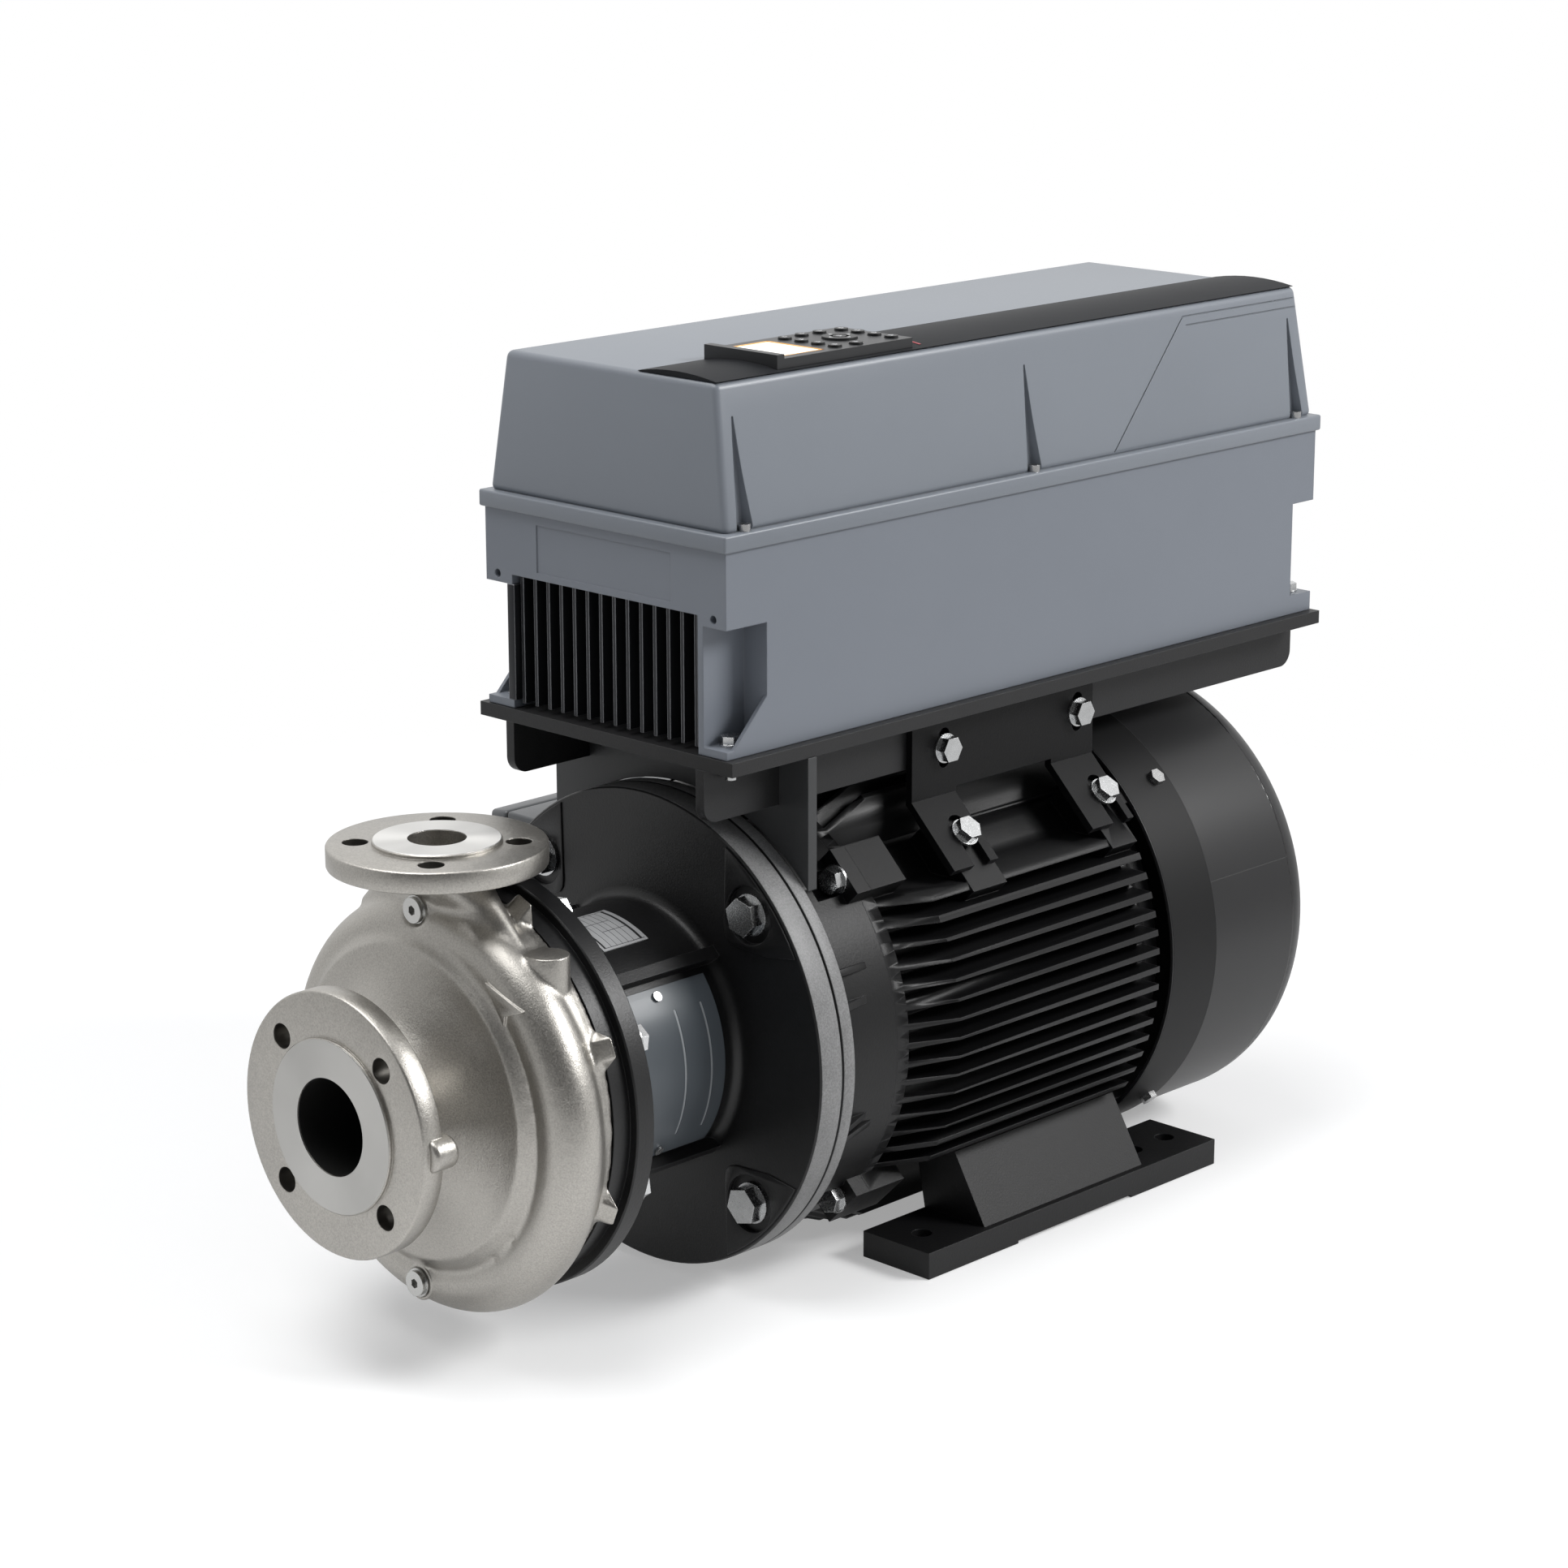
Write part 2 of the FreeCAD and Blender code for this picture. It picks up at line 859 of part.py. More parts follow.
bind(volute, "Radius1", "volute_ring")
bind(volute, "Radius2", "volute_half")
put(volute, ("volute_centre", "-volute_shift", "-volute_shift"), "x")
outlet_flange = turned("outlet_flange", [
    ("0", "discharge_flange_low"), ("discharge_flange_radius - edge_break", "discharge_flange_low"),
    ("discharge_flange_radius", "discharge_flange_low + edge_break"),
    ("discharge_flange_radius", "discharge_flange_top - edge_break"),
    ("discharge_flange_radius - edge_break", "discharge_flange_top"),
    ("discharge_face_radius", "discharge_flange_top"),
    ("discharge_face_radius", "discharge_face - edge_break"),
    ("discharge_face_radius - edge_break", "discharge_face"), ("0", "discharge_face")], upright=True)
bind(outlet_flange, "Placement.Base.x", "discharge_x")


def oval(side, half, place, height):
    """A level ring of the outlet neck, longer across the shaft than along it."""
    made = doc.addObject("Part::Ellipse", "oval")
    bind(made, "MajorRadius", side)
    bind(made, "MinorRadius", half)
    return put(made, (place, "0", height), 90)


neck = doc.addObject("Part::Loft", "outlet_neck")
neck.Sections = [
    oval("outlet_foot_side", "outlet_foot_half", "discharge_x + outlet_lean", "outlet_foot_height"),
    oval("outlet_wide_side", "outlet_wide_half", "discharge_x + outlet_lean", "outlet_wide_height"),
    oval("outlet_mid_side", "outlet_mid_half", "discharge_x", "outlet_mid_height"),
    oval("outlet_neck_side", "outlet_neck_half", "discharge_x", "discharge_flange_low + edge_break")]
neck.Solid = True
neck.Ruled = True
nut_space = cylinder("nut_space_radius", "discharge_flange_low - nut_space_floor",
                     ("discharge_bolt_ring", "0", "nut_space_floor"), "z")


def round_outlet(thing, angle):
    """A copy turned about the outlet's own upright axis."""
    copy = group(thing)
    copy.Placement = FreeCAD.Placement(V(0, 0, 0), FreeCAD.Rotation(V(0, 0, 1), angle))
    bind(copy, "Placement.Base.x", "discharge_x")
    return copy


neck_cut = cut(neck, *[round_outlet(nut_space, angle) for angle in QUARTERS])
boss_foot = draw(bell, "YZ_Plane", [
    ("-boss_front_half", "boss_low"), ("-boss_front_half", "back_flange_radius"),
    ("boss_front_half", "back_flange_radius"), ("boss_front_half", "boss_low")], offset="boss_front", turn=-112.5)
boss_crest = draw(bell, "YZ_Plane", [
    ("-boss_foot_half", "boss_low"), ("-boss_top_half", "boss_top"),
    ("boss_top_half", "boss_top"), ("boss_foot_half", "boss_low")], offset="casing_back", turn=-112.5)
boss_ramp = bell.newObject("PartDesign::AdditiveLoft", "boss_ramp")
boss_ramp.Profile = boss_foot
boss_ramp.Sections = [boss_crest]
boss_ramp.Ruled = True
bell.Tip = boss_ramp
around(bell, boss_ramp, 6, 225)
tap_boss = cylinder("tap_boss_radius", "tap_boss_height",
                    ("tap_boss_x", "-tap_boss_y", "tap_boss_top - tap_boss_height"), "z")
tap_fairing = new_body("tap_fairing")
pad(tap_fairing, draw(tap_fairing, "XY_Plane", [
    ("tap_boss_x - tap_tip_front", "-tap_boss_y + tap_tip_side"),
    ("tap_boss_x - tap_boss_radius", "-tap_boss_y"), ("tap_boss_x", "-tap_boss_y"),
    ("tap_boss_x + tap_boss_radius*0.5", "-tap_boss_y + tap_boss_radius*0.86")],
    offset="tap_boss_top - tap_boss_height"), "tap_boss_height")
vent_boss = cylinder("plug_boss_radius", "plug_boss_length", ("vent_face", "0", "vent_height"))
drain_boss = cylinder("plug_boss_radius", "plug_boss_length", ("drain_face", "0", "-drain_height"))
rim_boss = cylinder("rim_boss_radius", "rim_boss_length", ("rim_boss_front", "-rim_boss_y", "0"))
chamber = turned("casing_chamber", [
    ("-edge_break", "0"), ("-edge_break", "suction_bore"), ("ring_seat_front", "suction_bore"),
    ("ring_seat_front", "ring_seat_radius"), ("chamber_front", "ring_seat_radius"),
    ("chamber_waist", "chamber_waist_radius"), ("chamber_shoulder", "chamber_shoulder_radius"),
    ("chamber_corner", "chamber_radius"), ("spigot_front", "chamber_radius"),
    ("spigot_front", "spigot_radius"), ("casing_back + edge_break", "spigot_radius"),
    ("casing_back + edge_break", "0")])
passage = doc.addObject("Part::Torus", "passage")
bind(passage, "Radius1", "passage_ring")
bind(passage, "Radius2", "passage_half")
bind(passage, "Angle3", "passage_sweep")
put(passage, ("passage_centre", "-volute_shift", "-volute_shift"))
passage.Placement = FreeCAD.Placement(
    passage.Placement.Base, FreeCAD.Rotation(V(0, 0, 1), V(0, -1, 0), V(1, 0, 0)))
outlet_bore = fuse(
    cylinder("discharge_bore", "discharge_face - bore_low + edge_break", ("discharge_x", "0", "bore_low"), "z"),
    cone("throat_radius", "discharge_bore", "bore_low - throat_high", ("discharge_x", "0", "throat_high"), "z"),
    cylinder("throat_radius", "throat_high - throat_low", ("discharge_x", "0", "throat_low"), "z"))
suction_hole = cylinder("flange_hole", "suction_flange_back + edge_break*2",
                        ("-edge_break", "0", "suction_bolt_ring"))
discharge_hole = cylinder("flange_hole", "discharge_face - discharge_flange_low + edge_break*2",
                          ("discharge_bolt_ring", "0", "discharge_flange_low - edge_break"), "z")
discharge_holes = [round_outlet(discharge_hole, angle) for angle in QUARTERS]
casing_thread = cylinder("m12_radius", "m12_length - disc_back + casing_back + edge_break*2",
                         ("disc_back - m12_length - edge_break", "0", "casing_bolt_ring"))
vent_seat = cylinder("washer_rim + edge_break", "plug_boss_radius", ("vent_face", "0", "vent_height"), "-x")
vent_thread = cylinder("plug_thread", "plug_depth + edge_break", ("vent_face", "0", "vent_height"))
drain_thread = cylinder("plug_thread", "plug_depth + edge_break", ("drain_face", "0", "-drain_height"))
casing_solid = join(bell, volute, neck_cut, outlet_flange, tap_boss, tap_fairing, vent_boss, drain_boss, rim_boss)
named(cut(casing_solid, chamber, passage, outlet_bore, ring(suction_hole, QUARTERS),
          *discharge_holes, ring(casing_thread, EIGHTHS), vent_seat, vent_thread, drain_thread), "pump_casing")


def screw_plug(face, height):
    """A socket plug screwed in against its sealing washer."""
    seat = face + " - washer_height"
    collar = cylinder("plug_collar", "plug_collar_height", (seat, "0", height), "-x")
    thread = cylinder("plug_thread", "plug_depth + washer_height", (seat, "0", height), "x")
    socket = prism("socket_corner", "socket_depth", (seat + " - plug_collar_height", "0", height), "x")
    core = cylinder("plug_thread", "washer_height", (face, "0", height), "-x")
    washer = cut(cylinder("washer_rim", "washer_height", (face, "0", height), "-x"), core)
    return group(cut(fuse(collar, thread), socket), washer)


named(group(screw_plug("vent_face", "vent_height"), screw_plug("drain_face", "-drain_height")), "casing_plugs")

named(turned("casing_wear_ring", [
    ("ring_seat_front", "ring_bore"), ("ring_seat_front", "ring_seat_radius"),
    ("ring_back", "ring_seat_radius"), ("ring_back", "ring_bore")]), "casing_wear_ring")

# The impeller: two shrouds with swept blades between them.
shroud = turned("front_shroud", [
    ("eye_front", "eye_bore"), ("eye_front", "eye_rim"), ("eye_back", "eye_rim"),
    ("shroud_turn", "shroud_turn_radius"), ("shroud_tip_front", "impeller_radius"),
    ("shroud_tip_back", "impeller_radius"), ("shroud_inner_turn", "shroud_inner_radius"),
    ("eye_inner_back", "eye_bore")])
back_plate = turned("back_shroud", [
    ("hub_front", "seat_radius"), ("hub_front", "hub_radius"),
    ("plate_front - hub_flare_length", "hub_radius + edge_break*2"),
    ("plate_front", "hub_radius + hub_flare"), ("plate_front", "impeller_radius"),
    ("plate_back", "impeller_radius"), ("plate_back", "hub_back_radius + hub_back_flare"),
    ("plate_back + hub_back_flare*0.5", "hub_back_radius"), ("hub_back", "hub_back_radius"),
    ("hub_back", "seat_radius")])
blade_room = turned("blade_room", [
    ("eye_inner_back", "eye_bore"), ("shroud_inner_turn", "shroud_inner_radius"),
    ("shroud_tip_back", "impeller_radius"), ("plate_front", "impeller_radius"),
    ("plate_front", "hub_radius"), ("eye_inner_back", "hub_radius")])
blades = new_body("impeller_blades")
blade_profile = draw(blades, "YZ_Plane", [
    ("0", "blade_inner"), ("-blade_tip_side", "blade_tip_up", "blade_sweep", 1),
    ("-blade_tip_side + blade_thickness", "blade_tip_up - blade_thickness"),
    ("0", "blade_inner - blade_thickness", "blade_sweep", -1)], offset="blade_front")
around(blades, pad(blades, blade_profile, "plate_front - blade_front + edge_break"), SIZES["blade_count"])
key_room = box(("impeller_key_front", "-impeller_key_width*0.5", "impeller_key_low"),
               "impeller_key_length", "impeller_key_width", "impeller_key_high - impeller_key_low")
named(cut(fuse(shroud, back_plate, common(blades, blade_room)), key_room), "impeller")

nut_hex = prism("nut_corner", "nut_height", ("nut_front", "0", "0"), "x")
nut_collar = cylinder("nut_collar", "nut_collar_height", ("nut_front + nut_height", "0", "0"))
nut_bore = cylinder("thread_radius", "nut_height + nut_collar_height", ("nut_front", "0", "0"))
named(cut(fuse(nut_hex, nut_collar), nut_bore), "impeller_nut")

# The stub shaft: threaded front end, impeller seat, seal length and the sleeve over the motor shaft.
stub = turned("stub_shaft", [
    ("thread_front", "0"), ("thread_front", "thread_radius - edge_break"),
    ("thread_front + edge_break", "thread_radius"), ("hub_front", "thread_radius"),
    ("hub_front", "seat_radius"), ("hub_back", "seat_radius"), ("hub_back", "seal_shaft_radius"),
    ("shaft_collar_front", "seal_shaft_radius"),
    ("shaft_collar_front + collar_length", "sleeve_radius - collar_rise"),
    ("sleeve_floor - edge_break*4", "sleeve_radius"), ("sleeve_back", "sleeve_radius"),
    ("sleeve_back", "motor_shaft_radius"), ("sleeve_floor", "motor_shaft_radius"), ("sleeve_floor", "0")])
stub_key = box(("impeller_key_front", "-impeller_key_width*0.5", "impeller_key_low"),
               "impeller_key_length", "impeller_key_width", "seat_radius - impeller_key_low + edge_break")
sleeve_key = box(("shaft_key_front", "-shaft_key_width*0.5", "shaft_key_low"),
                 "sleeve_back - shaft_key_front + edge_break", "shaft_key_width", "shaft_key_high - shaft_key_low")
named(cut(stub, stub_key, sleeve_key), "pump_shaft")
front_key = box(("impeller_key_front", "-impeller_key_width*0.5", "impeller_key_low"),
                "impeller_key_length", "impeller_key_width", "impeller_key_high - impeller_key_low")
back_key = box(("shaft_key_front", "-shaft_key_width*0.5", "shaft_key_low"),
               "shaft_key_length", "shaft_key_width", "shaft_key_high - shaft_key_low")
named(group(front_key, back_key), "shaft_keys")

# The cover closes the volute behind the impeller and holds the shaft seal.
cover = turned("seal_cover", [
    ("spigot_front", "cover_bore"), ("spigot_front", "spigot_radius"),
    ("ring_groove_front", "spigot_radius"), ("ring_groove_front", "ring_groove_floor"),
    ("ring_groove_back", "ring_groove_floor"), ("ring_groove_back", "spigot_radius"),
    ("casing_back", "spigot_radius"), ("casing_back", "cover_step_radius"),
    ("cover_step_back", "cover_step_radius"), ("cover_nose_mid", "cover_nose_radius"),
    ("cover_nose_back", "cover_nose_radius"), ("cover_nose_back", "cover_lip_bore"),
    ("seat_pocket_back", "cover_lip_bore"), ("seat_pocket_back", "cover_bore")])
named(cover, "pump_cover")
o_ring = doc.addObject("Part::Torus", "o_ring")
bind(o_ring, "Radius1", "ring_groove_floor + seal_cord")
bind(o_ring, "Radius2", "seal_cord")
put(o_ring, ("ring_groove_front*0.5 + ring_groove_back*0.5", "0", "0"), "x")
named(o_ring, "cover_o_ring")
named(turned("seal_seat", [
    ("seat_ring_front", "seat_ring_bore"), ("seat_ring_front", "head_nose"),
    ("seat_ring_front + edge_break*2", "seat_ring_radius"), ("seat_pocket_back", "seat_ring_radius"),
    ("seat_pocket_back", "seat_ring_bore")]), "seal_seat")
named(turned("seal_head", [
    ("head_front", "seal_shaft_radius"), ("head_front", "head_radius"),
    ("head_nose_front", "head_radius"), ("head_nose_front", "head_nose"),
    ("seat_ring_front", "head_nose"), ("seat_ring_front", "seal_shaft_radius + edge_break"),
    ("head_nose_front", "seal_shaft_radius")]), "seal_head")
waves = [("bellows_front", "seal_shaft_radius"), ("bellows_front", "bellows_wave")]
for i in range(1, 5):
    waves.append(("bellows_front + bellows_pitch*%g" % (i - 0.5), "bellows_root"))
    waves.append(("bellows_front + bellows_pitch*%d" % i, "bellows_wave"))
waves.append(("head_front", "bellows_wave"))
waves.append(("head_front", "seal_shaft_radius"))
named(turned("seal_bellows", waves), "seal_bellows")

named(ring(hex_bolt("m12", ("disc_back", "0", "casing_bolt_ring"), "x", "m12_length"), EIGHTHS), "casing_bolts")

# The motor stool between the casing and the motor flange, with a window on each side.
stool = turned("stool_shell", [
    ("stool_front", "stool_front_bore"), ("stool_front", "hub_outer"), ("disc_front", "hub_outer"),
    ("disc_front", "disc_radius - edge_break"), ("disc_front + edge_break", "disc_radius"),
    ("disc_back - edge_break", "disc_radius"), ("disc_back", "disc_radius - edge_break"),
    ("disc_back", "barrel_radius + barrel_fillet"),
    ("disc_back + barrel_fillet", "barrel_radius", "barrel_fillet", 1),
    ("stool_flange_front - barrel_fillet", "barrel_radius"),
    ("stool_flange_front", "barrel_radius + barrel_fillet", "barrel_fillet", 1),
    ("stool_flange_front", "motor_flange_radius - edge_break"),
    ("stool_flange_front + edge_break", "motor_flange_radius"),
    ("stool_back - edge_break", "motor_flange_radius"), ("stool_back", "motor_flange_radius - edge_break"),
    ("stool_back", "flange_spigot"), ("spigot_recess", "flange_spigot"), ("spigot_recess", "barrel_bore"),
    ("stool_wall_back", "barrel_bore"), ("stool_wall_back", "stool_front_bore")])
web_bar = box(("disc_back - edge_break", "-stool_web*0.5", "barrel_bore + edge_break"),
              "stool_flange_front - disc_back + edge_break*2", "stool_web",
              "stool_web_top - barrel_bore - edge_break")
window = box(("window_front", "-barrel_radius - window_depth*0.5", "-window_height*0.5"),
             "window_length", "window_depth", "window_height")
casing_clear = cylinder("m12_clearance", "disc_back - stool_front + edge_break*2",
                        ("stool_front - edge_break", "0", "casing_bolt_ring"))
motor_clear = cylinder("m16_clearance", "stool_back - stool_flange_front + edge_break*2",
                       ("stool_flange_front - edge_break", "0", "motor_bolt_ring"))
pocket = cylinder("bolt_pocket", "bolt_pocket_depth + edge_break",
                  ("stool_flange_front - edge_break", "0", "motor_bolt_ring"))
guard_hole = cylinder("guard_screw_thread", "guard_screw_length",
                      ("guard_screw_front", "0", "guard_radius - guard_screw_length"), "z")
guard_hole_back = cylinder("guard_screw_thread", "guard_screw_length",
                           ("guard_screw_back", "0", "guard_radius - guard_screw_length"), "z")
SCREW_LINES = [90 - SIZES["guard_screw_lean"], 90 + SIZES["guard_screw_lean"],
               270 - SIZES["guard_screw_lean"], 270 + SIZES["guard_screw_lean"]]
guard_holes = ring(group(guard_hole, guard_hole_back), SCREW_LINES)
named(cut(fuse(stool, ring(web_bar, QUARTERS)), both(window), ring(casing_clear, EIGHTHS),
          ring(motor_clear, QUARTERS), ring(pocket, QUARTERS), guard_holes), "motor_stool")

# Sheet guards over the windows, each with two long slots.
def shell_sector(inner, outer, front, length, angle, middle):
    """Part of a tube round the shaft, centred on an angle from +Z towards -Y."""
    whole = cylinder(outer, length, (front, "0", "0"), "x", angle)
    core = cylinder(inner, length + " + edge_break*2", (front + " - edge_break", "0", "0"), "x")
    made = cut(whole, core)
    made.Placement = FreeCAD.Placement(
        V(0, 0, 0), FreeCAD.Rotation(V(1, 0, 0), middle + 180 - number(angle) / 2))
    return made


slots = group(*[shell_sector("barrel_radius - edge_break", "guard_radius + edge_break", front,
                              "slot_width", "slot_angle", 90) for front in ("slot_front", "slot_second")])
guard = cut(shell_sector("barrel_radius", "guard_radius", "disc_back + barrel_fillet", "guard_length",
                         "guard_angle", 90),
            slots, ring(group(guard_hole, guard_hole_back), SCREW_LINES[:2]))
named(both(guard), "guard_plates")


def guard_screw(x):
    head = cylinder("guard_screw_head", "guard_screw_height", (x, "0", "guard_radius"), "z")
    thread = cylinder("guard_screw_thread", "guard_screw_length",
                      (x, "0", "guard_radius - guard_screw_length"), "z")
    return fuse(head, thread)


screw_pair = group(guard_screw("guard_screw_front"), guard_screw("guard_screw_back"))
named(ring(screw_pair, SCREW_LINES), "guard_screws")
named(shell_sector("barrel_radius", "barrel_radius + label_thickness", "label_front", "label_length",
                   "label_angle", SIZES["label_angle"] / 2), "name_plate")

motor_bolt = hex_bolt("m16", ("stool_flange_front + bolt_pocket_depth", "0", "motor_bolt_ring"), "-x",
                      "m16_length")
nut_core = cylinder("m16_radius", "m16_nut + edge_break*2",
                    ("motor_flange_back - edge_break", "0", "motor_bolt_ring"))
motor_nut = cut(prism("m16_corner", "m16_nut", ("motor_flange_back", "0", "motor_bolt_ring"), "x"), nut_core)
named(ring(group(motor_bolt, motor_nut), QUARTERS), "stool_bolts")

# The motor's front shield with the mounting flange, gussets, lugs and the bearing seat.
shield = turned("front_shield", [
    ("spigot_recess", "shield_seal_bore"), ("spigot_recess", "flange_spigot"), ("stool_back", "flange_spigot"),
    ("stool_back", "motor_flange_radius - edge_break"), ("stool_back + edge_break", "motor_flange_radius"),
    ("motor_flange_back - edge_break", "motor_flange_radius"),
    ("motor_flange_back", "motor_flange_radius - edge_break"),
    ("motor_flange_back", "shield_radius"), ("frame_front", "shield_radius"), ("frame_front", "shield_wall"),
    ("shield_cavity", "shield_wall"), ("shield_web_back", "shield_wall - shield_web_rise"),
    ("shield_web_back", "bearing_house + shield_web_foot"), ("shield_cavity", "bearing_house"),
    ("bearing_house_back", "bearing_house"), ("bearing_house_back", "bearing_seat"),
    ("front_bearing_front", "bearing_seat"), ("front_bearing_front", "shield_lip"),
    ("stool_back + shield_lip_depth", "shield_lip"), ("stool_back + shield_lip_depth", "shield_seal_bore")])
gusset = new_body("gusset")
pad(gusset, draw(gusset, "XZ_Plane", [
    ("motor_flange_back - edge_break", "shield_radius - edge_break"),
    ("motor_flange_back - edge_break", "shield_radius + gusset_height"),
    ("motor_flange_back + gusset_reach", "shield_radius - edge_break")]), "gusset_width", middle=True)
shield_lug = box(("lug_front", "-lug_half", "lug_low"), "frame_front - lug_front", "lug_half*2",
                 "lug_radius - lug_low")
shield_lugs = cut(ring(shield_lug, QUARTERS),
                  cylinder("shield_wall", "frame_front", ("motor_flange_back", "0", "0")))
motor_clear_two = cylinder("m16_clearance", "motor_flange_back - stool_back + edge_break*2",
                           ("stool_back - edge_break", "0", "motor_bolt_ring"))
nut_room = cylinder("m16_corner + edge_break", "m16_nut + edge_break*6",
                    ("motor_flange_back", "0", "motor_bolt_ring"))
lug_thread = cylinder("m10_radius", "lug_back", ("lug_room_front", "0", "lug_bolt_ring"))
head_room = cylinder("m10_washer + edge_break*0.5", "lug_front - lug_room_front",
                     ("lug_room_front", "0", "lug_bolt_ring"))
named(cut(fuse(shield, ring(gusset, [15, 75, 105, 165, 195, 255, 285, 345]), shield_lugs),
          ring(motor_clear_two, QUARTERS), ring(nut_room, QUARTERS), ring(lug_thread, QUARTERS),
          ring(head_room, QUARTERS)), "drive_end_shield")

# The finned frame: a tube, a front ring and plate fins trimmed to the round outline.
tube = turned("frame_tube", [
    ("frame_front", "frame_bore"), ("frame_front", "shield_radius"), ("fin_ring_back", "shield_radius"),
    ("fin_ring_back + edge_break*3", "frame_outer"), ("frame_back - rear_ring", "frame_outer"),
    ("frame_back - rear_ring + edge_break*2", "rear_shield_radius"), ("frame_back", "rear_shield_radius"),
    ("frame_back", "frame_bore")])
outline = turned("fin_outline", [
    ("frame_front + edge_break", "frame_bore + fin_sink"),
    ("frame_front + edge_break", "shield_radius - edge_break"),
    ("fin_ring_back", "shield_radius"), ("fin_rise_back", "fin_radius"), ("fin_end", "fin_radius"),
    ("fin_end", "frame_bore + fin_sink")])


def fin_level(index):
    """The lower face of a fin, counted from the middle one."""
    return "%sfin_pitch*%d - fin_thickness*0.5" % ("-" if index < 0 else "", abs(index))


slabs = []
for i in range(-7, 8):
    level = fin_level(i)
    slabs.append(box(("frame_front", "-fin_radius - edge_break", level),
                     "frame_back - frame_front", "fin_depth", "fin_thickness"))
    slabs.append(box(("frame_front", "fin_root", level), "frame_back - frame_front", "fin_depth", "fin_thickness"))
for i in range(-6, 7):
    level = fin_level(i)
    slabs.append(box(("frame_front", level, "-fin_radius - edge_break"),
                     "frame_back - frame_front", "fin_thickness", "fin_depth"))
    slabs.append(box(("frame_front", level, "fin_root"), "frame_back - frame_front", "fin_thickness", "fin_depth"))
fins = common(fuse(*slabs), outline)
box_gap = box(("terminal_front - edge_break", "terminal_inner - fin_depth*0.5", "-terminal_half - edge_break"),
              "terminal_length + edge_break*2", "fin_depth", "terminal_half*2 + edge_break*2")
box_pad = box(("terminal_neck_front", "fin_root", "-terminal_neck_half"),
              "terminal_neck_length", "terminal_inner - fin_root", "terminal_neck_half*2")
bracket_pads = group(
    span("leg_bolt_front - pad_half", "leg_bolt_front + pad_half", "-pad_lower", "pad_upper",
         "pad_low", "pad_high"),
    span("leg_bolt_back - pad_half", "fin_end", "-pad_lower", "pad_upper", "pad_low", "pad_high"))
pads = both(rolled(bracket_pads, 45))
frame_lug = box(("frame_front", "-lug_half", "lug_low"), "lug_back - frame_front", "lug_half*2",
                "lug_radius - lug_low")
frame_core = cylinder("frame_bore", "frame_back", ("frame_front - edge_break", "0", "0"))
leg_holes = [cylinder("m10_radius", "m10_length", (x, "0", "bracket_plane + bracket_thickness - m10_length"), "z")
             for x in ("leg_bolt_front", "leg_bolt_back")]
lug_bolt = hex_bolt("m10", ("lug_front", "0", "lug_bolt_ring"), "-x", "m10_length*2")
lug_hole = cylinder("m10_radius", "m10_length*2", ("lug_front", "0", "lug_bolt_ring"))
finned = cut(fins, box_gap)
named(cut(fuse(tube, finned, box_pad, pads, ring(frame_lug, QUARTERS)), frame_core,
          ring(lug_hole, QUARTERS), ring(group(*leg_holes), [45, 315])), "motor_frame")
named(ring(lug_bolt, QUARTERS), "shield_bolts")

stator = turned("stator_core", [
    ("core_front", "stator_bore"), ("core_front", "frame_bore"),
    ("core_front + core_length", "frame_bore"), ("core_front + core_length", "stator_bore")])
named(stator, "stator_core")
WINDING = [("core_front - winding_length", "core_front"),
           ("core_front + core_length", "core_front + core_length + winding_length")]
coils = []
for i, (front, back) in enumerate(WINDING):
    coils.append(turned("winding_%d" % i, [
        (front, "winding_inner + edge_break*4"), (front, "winding_outer - edge_break*4"),
        (front + " + edge_break*4", "winding_outer"), (back + " - edge_break*4", "winding_outer"),
        (back, "winding_outer - edge_break*4"), (back, "winding_inner + edge_break*4"),
        (back + " - edge_break*4", "winding_inner"), (front + " + edge_break*4", "winding_inner")]))
named(group(*coils), "stator_windings")
named(turned("rotor_core", [
    ("core_front", "rotor_bore"), ("core_front", "end_ring_inner"),
    ("core_front - end_ring_length", "end_ring_inner"), ("core_front - end_ring_length", "end_ring_outer"),
    ("core_front", "end_ring_outer"), ("core_front", "rotor_radius"),
    ("core_front + core_length", "rotor_radius"), ("core_front + core_length", "end_ring_outer"),
    ("core_front + core_length + end_ring_length", "end_ring_outer"),
    ("core_front + core_length + end_ring_length", "end_ring_inner"),
    ("core_front + core_length", "end_ring_inner"),
    ("core_front + core_length", "rotor_bore")]), "rotor_core")
axle = turned("axle", [
    ("motor_shaft_front", "0"), ("motor_shaft_front", "motor_shaft_radius - edge_break"),
    ("motor_shaft_front + edge_break", "motor_shaft_radius"), ("motor_shaft_step", "motor_shaft_radius"),
    ("motor_shaft_step", "bearing_shaft"), ("front_bearing_front + bearing_width", "bearing_shaft"),
    ("front_bearing_front + bearing_width", "rotor_bore - edge_break*2"),
    ("core_front - rotor_seat_reach", "rotor_bore"),
    ("core_front + core_length + rotor_seat_reach", "rotor_bore"),
    ("rear_bearing_front", "rotor_bore - edge_break*2"),
    ("rear_bearing_front", "bearing_shaft"), ("rear_bearing_front + bearing_width", "bearing_shaft"),
    ("rear_bearing_front + bearing_width", "fan_shaft_radius"), ("fan_shaft_back", "fan_shaft_radius"),
    ("fan_shaft_back", "0")])
axle_key = box(("shaft_key_front", "-shaft_key_width*0.5", "shaft_key_low"),
               "shaft_key_length", "shaft_key_width", "shaft_key_high - shaft_key_low")
named(cut(axle, axle_key), "motor_shaft")


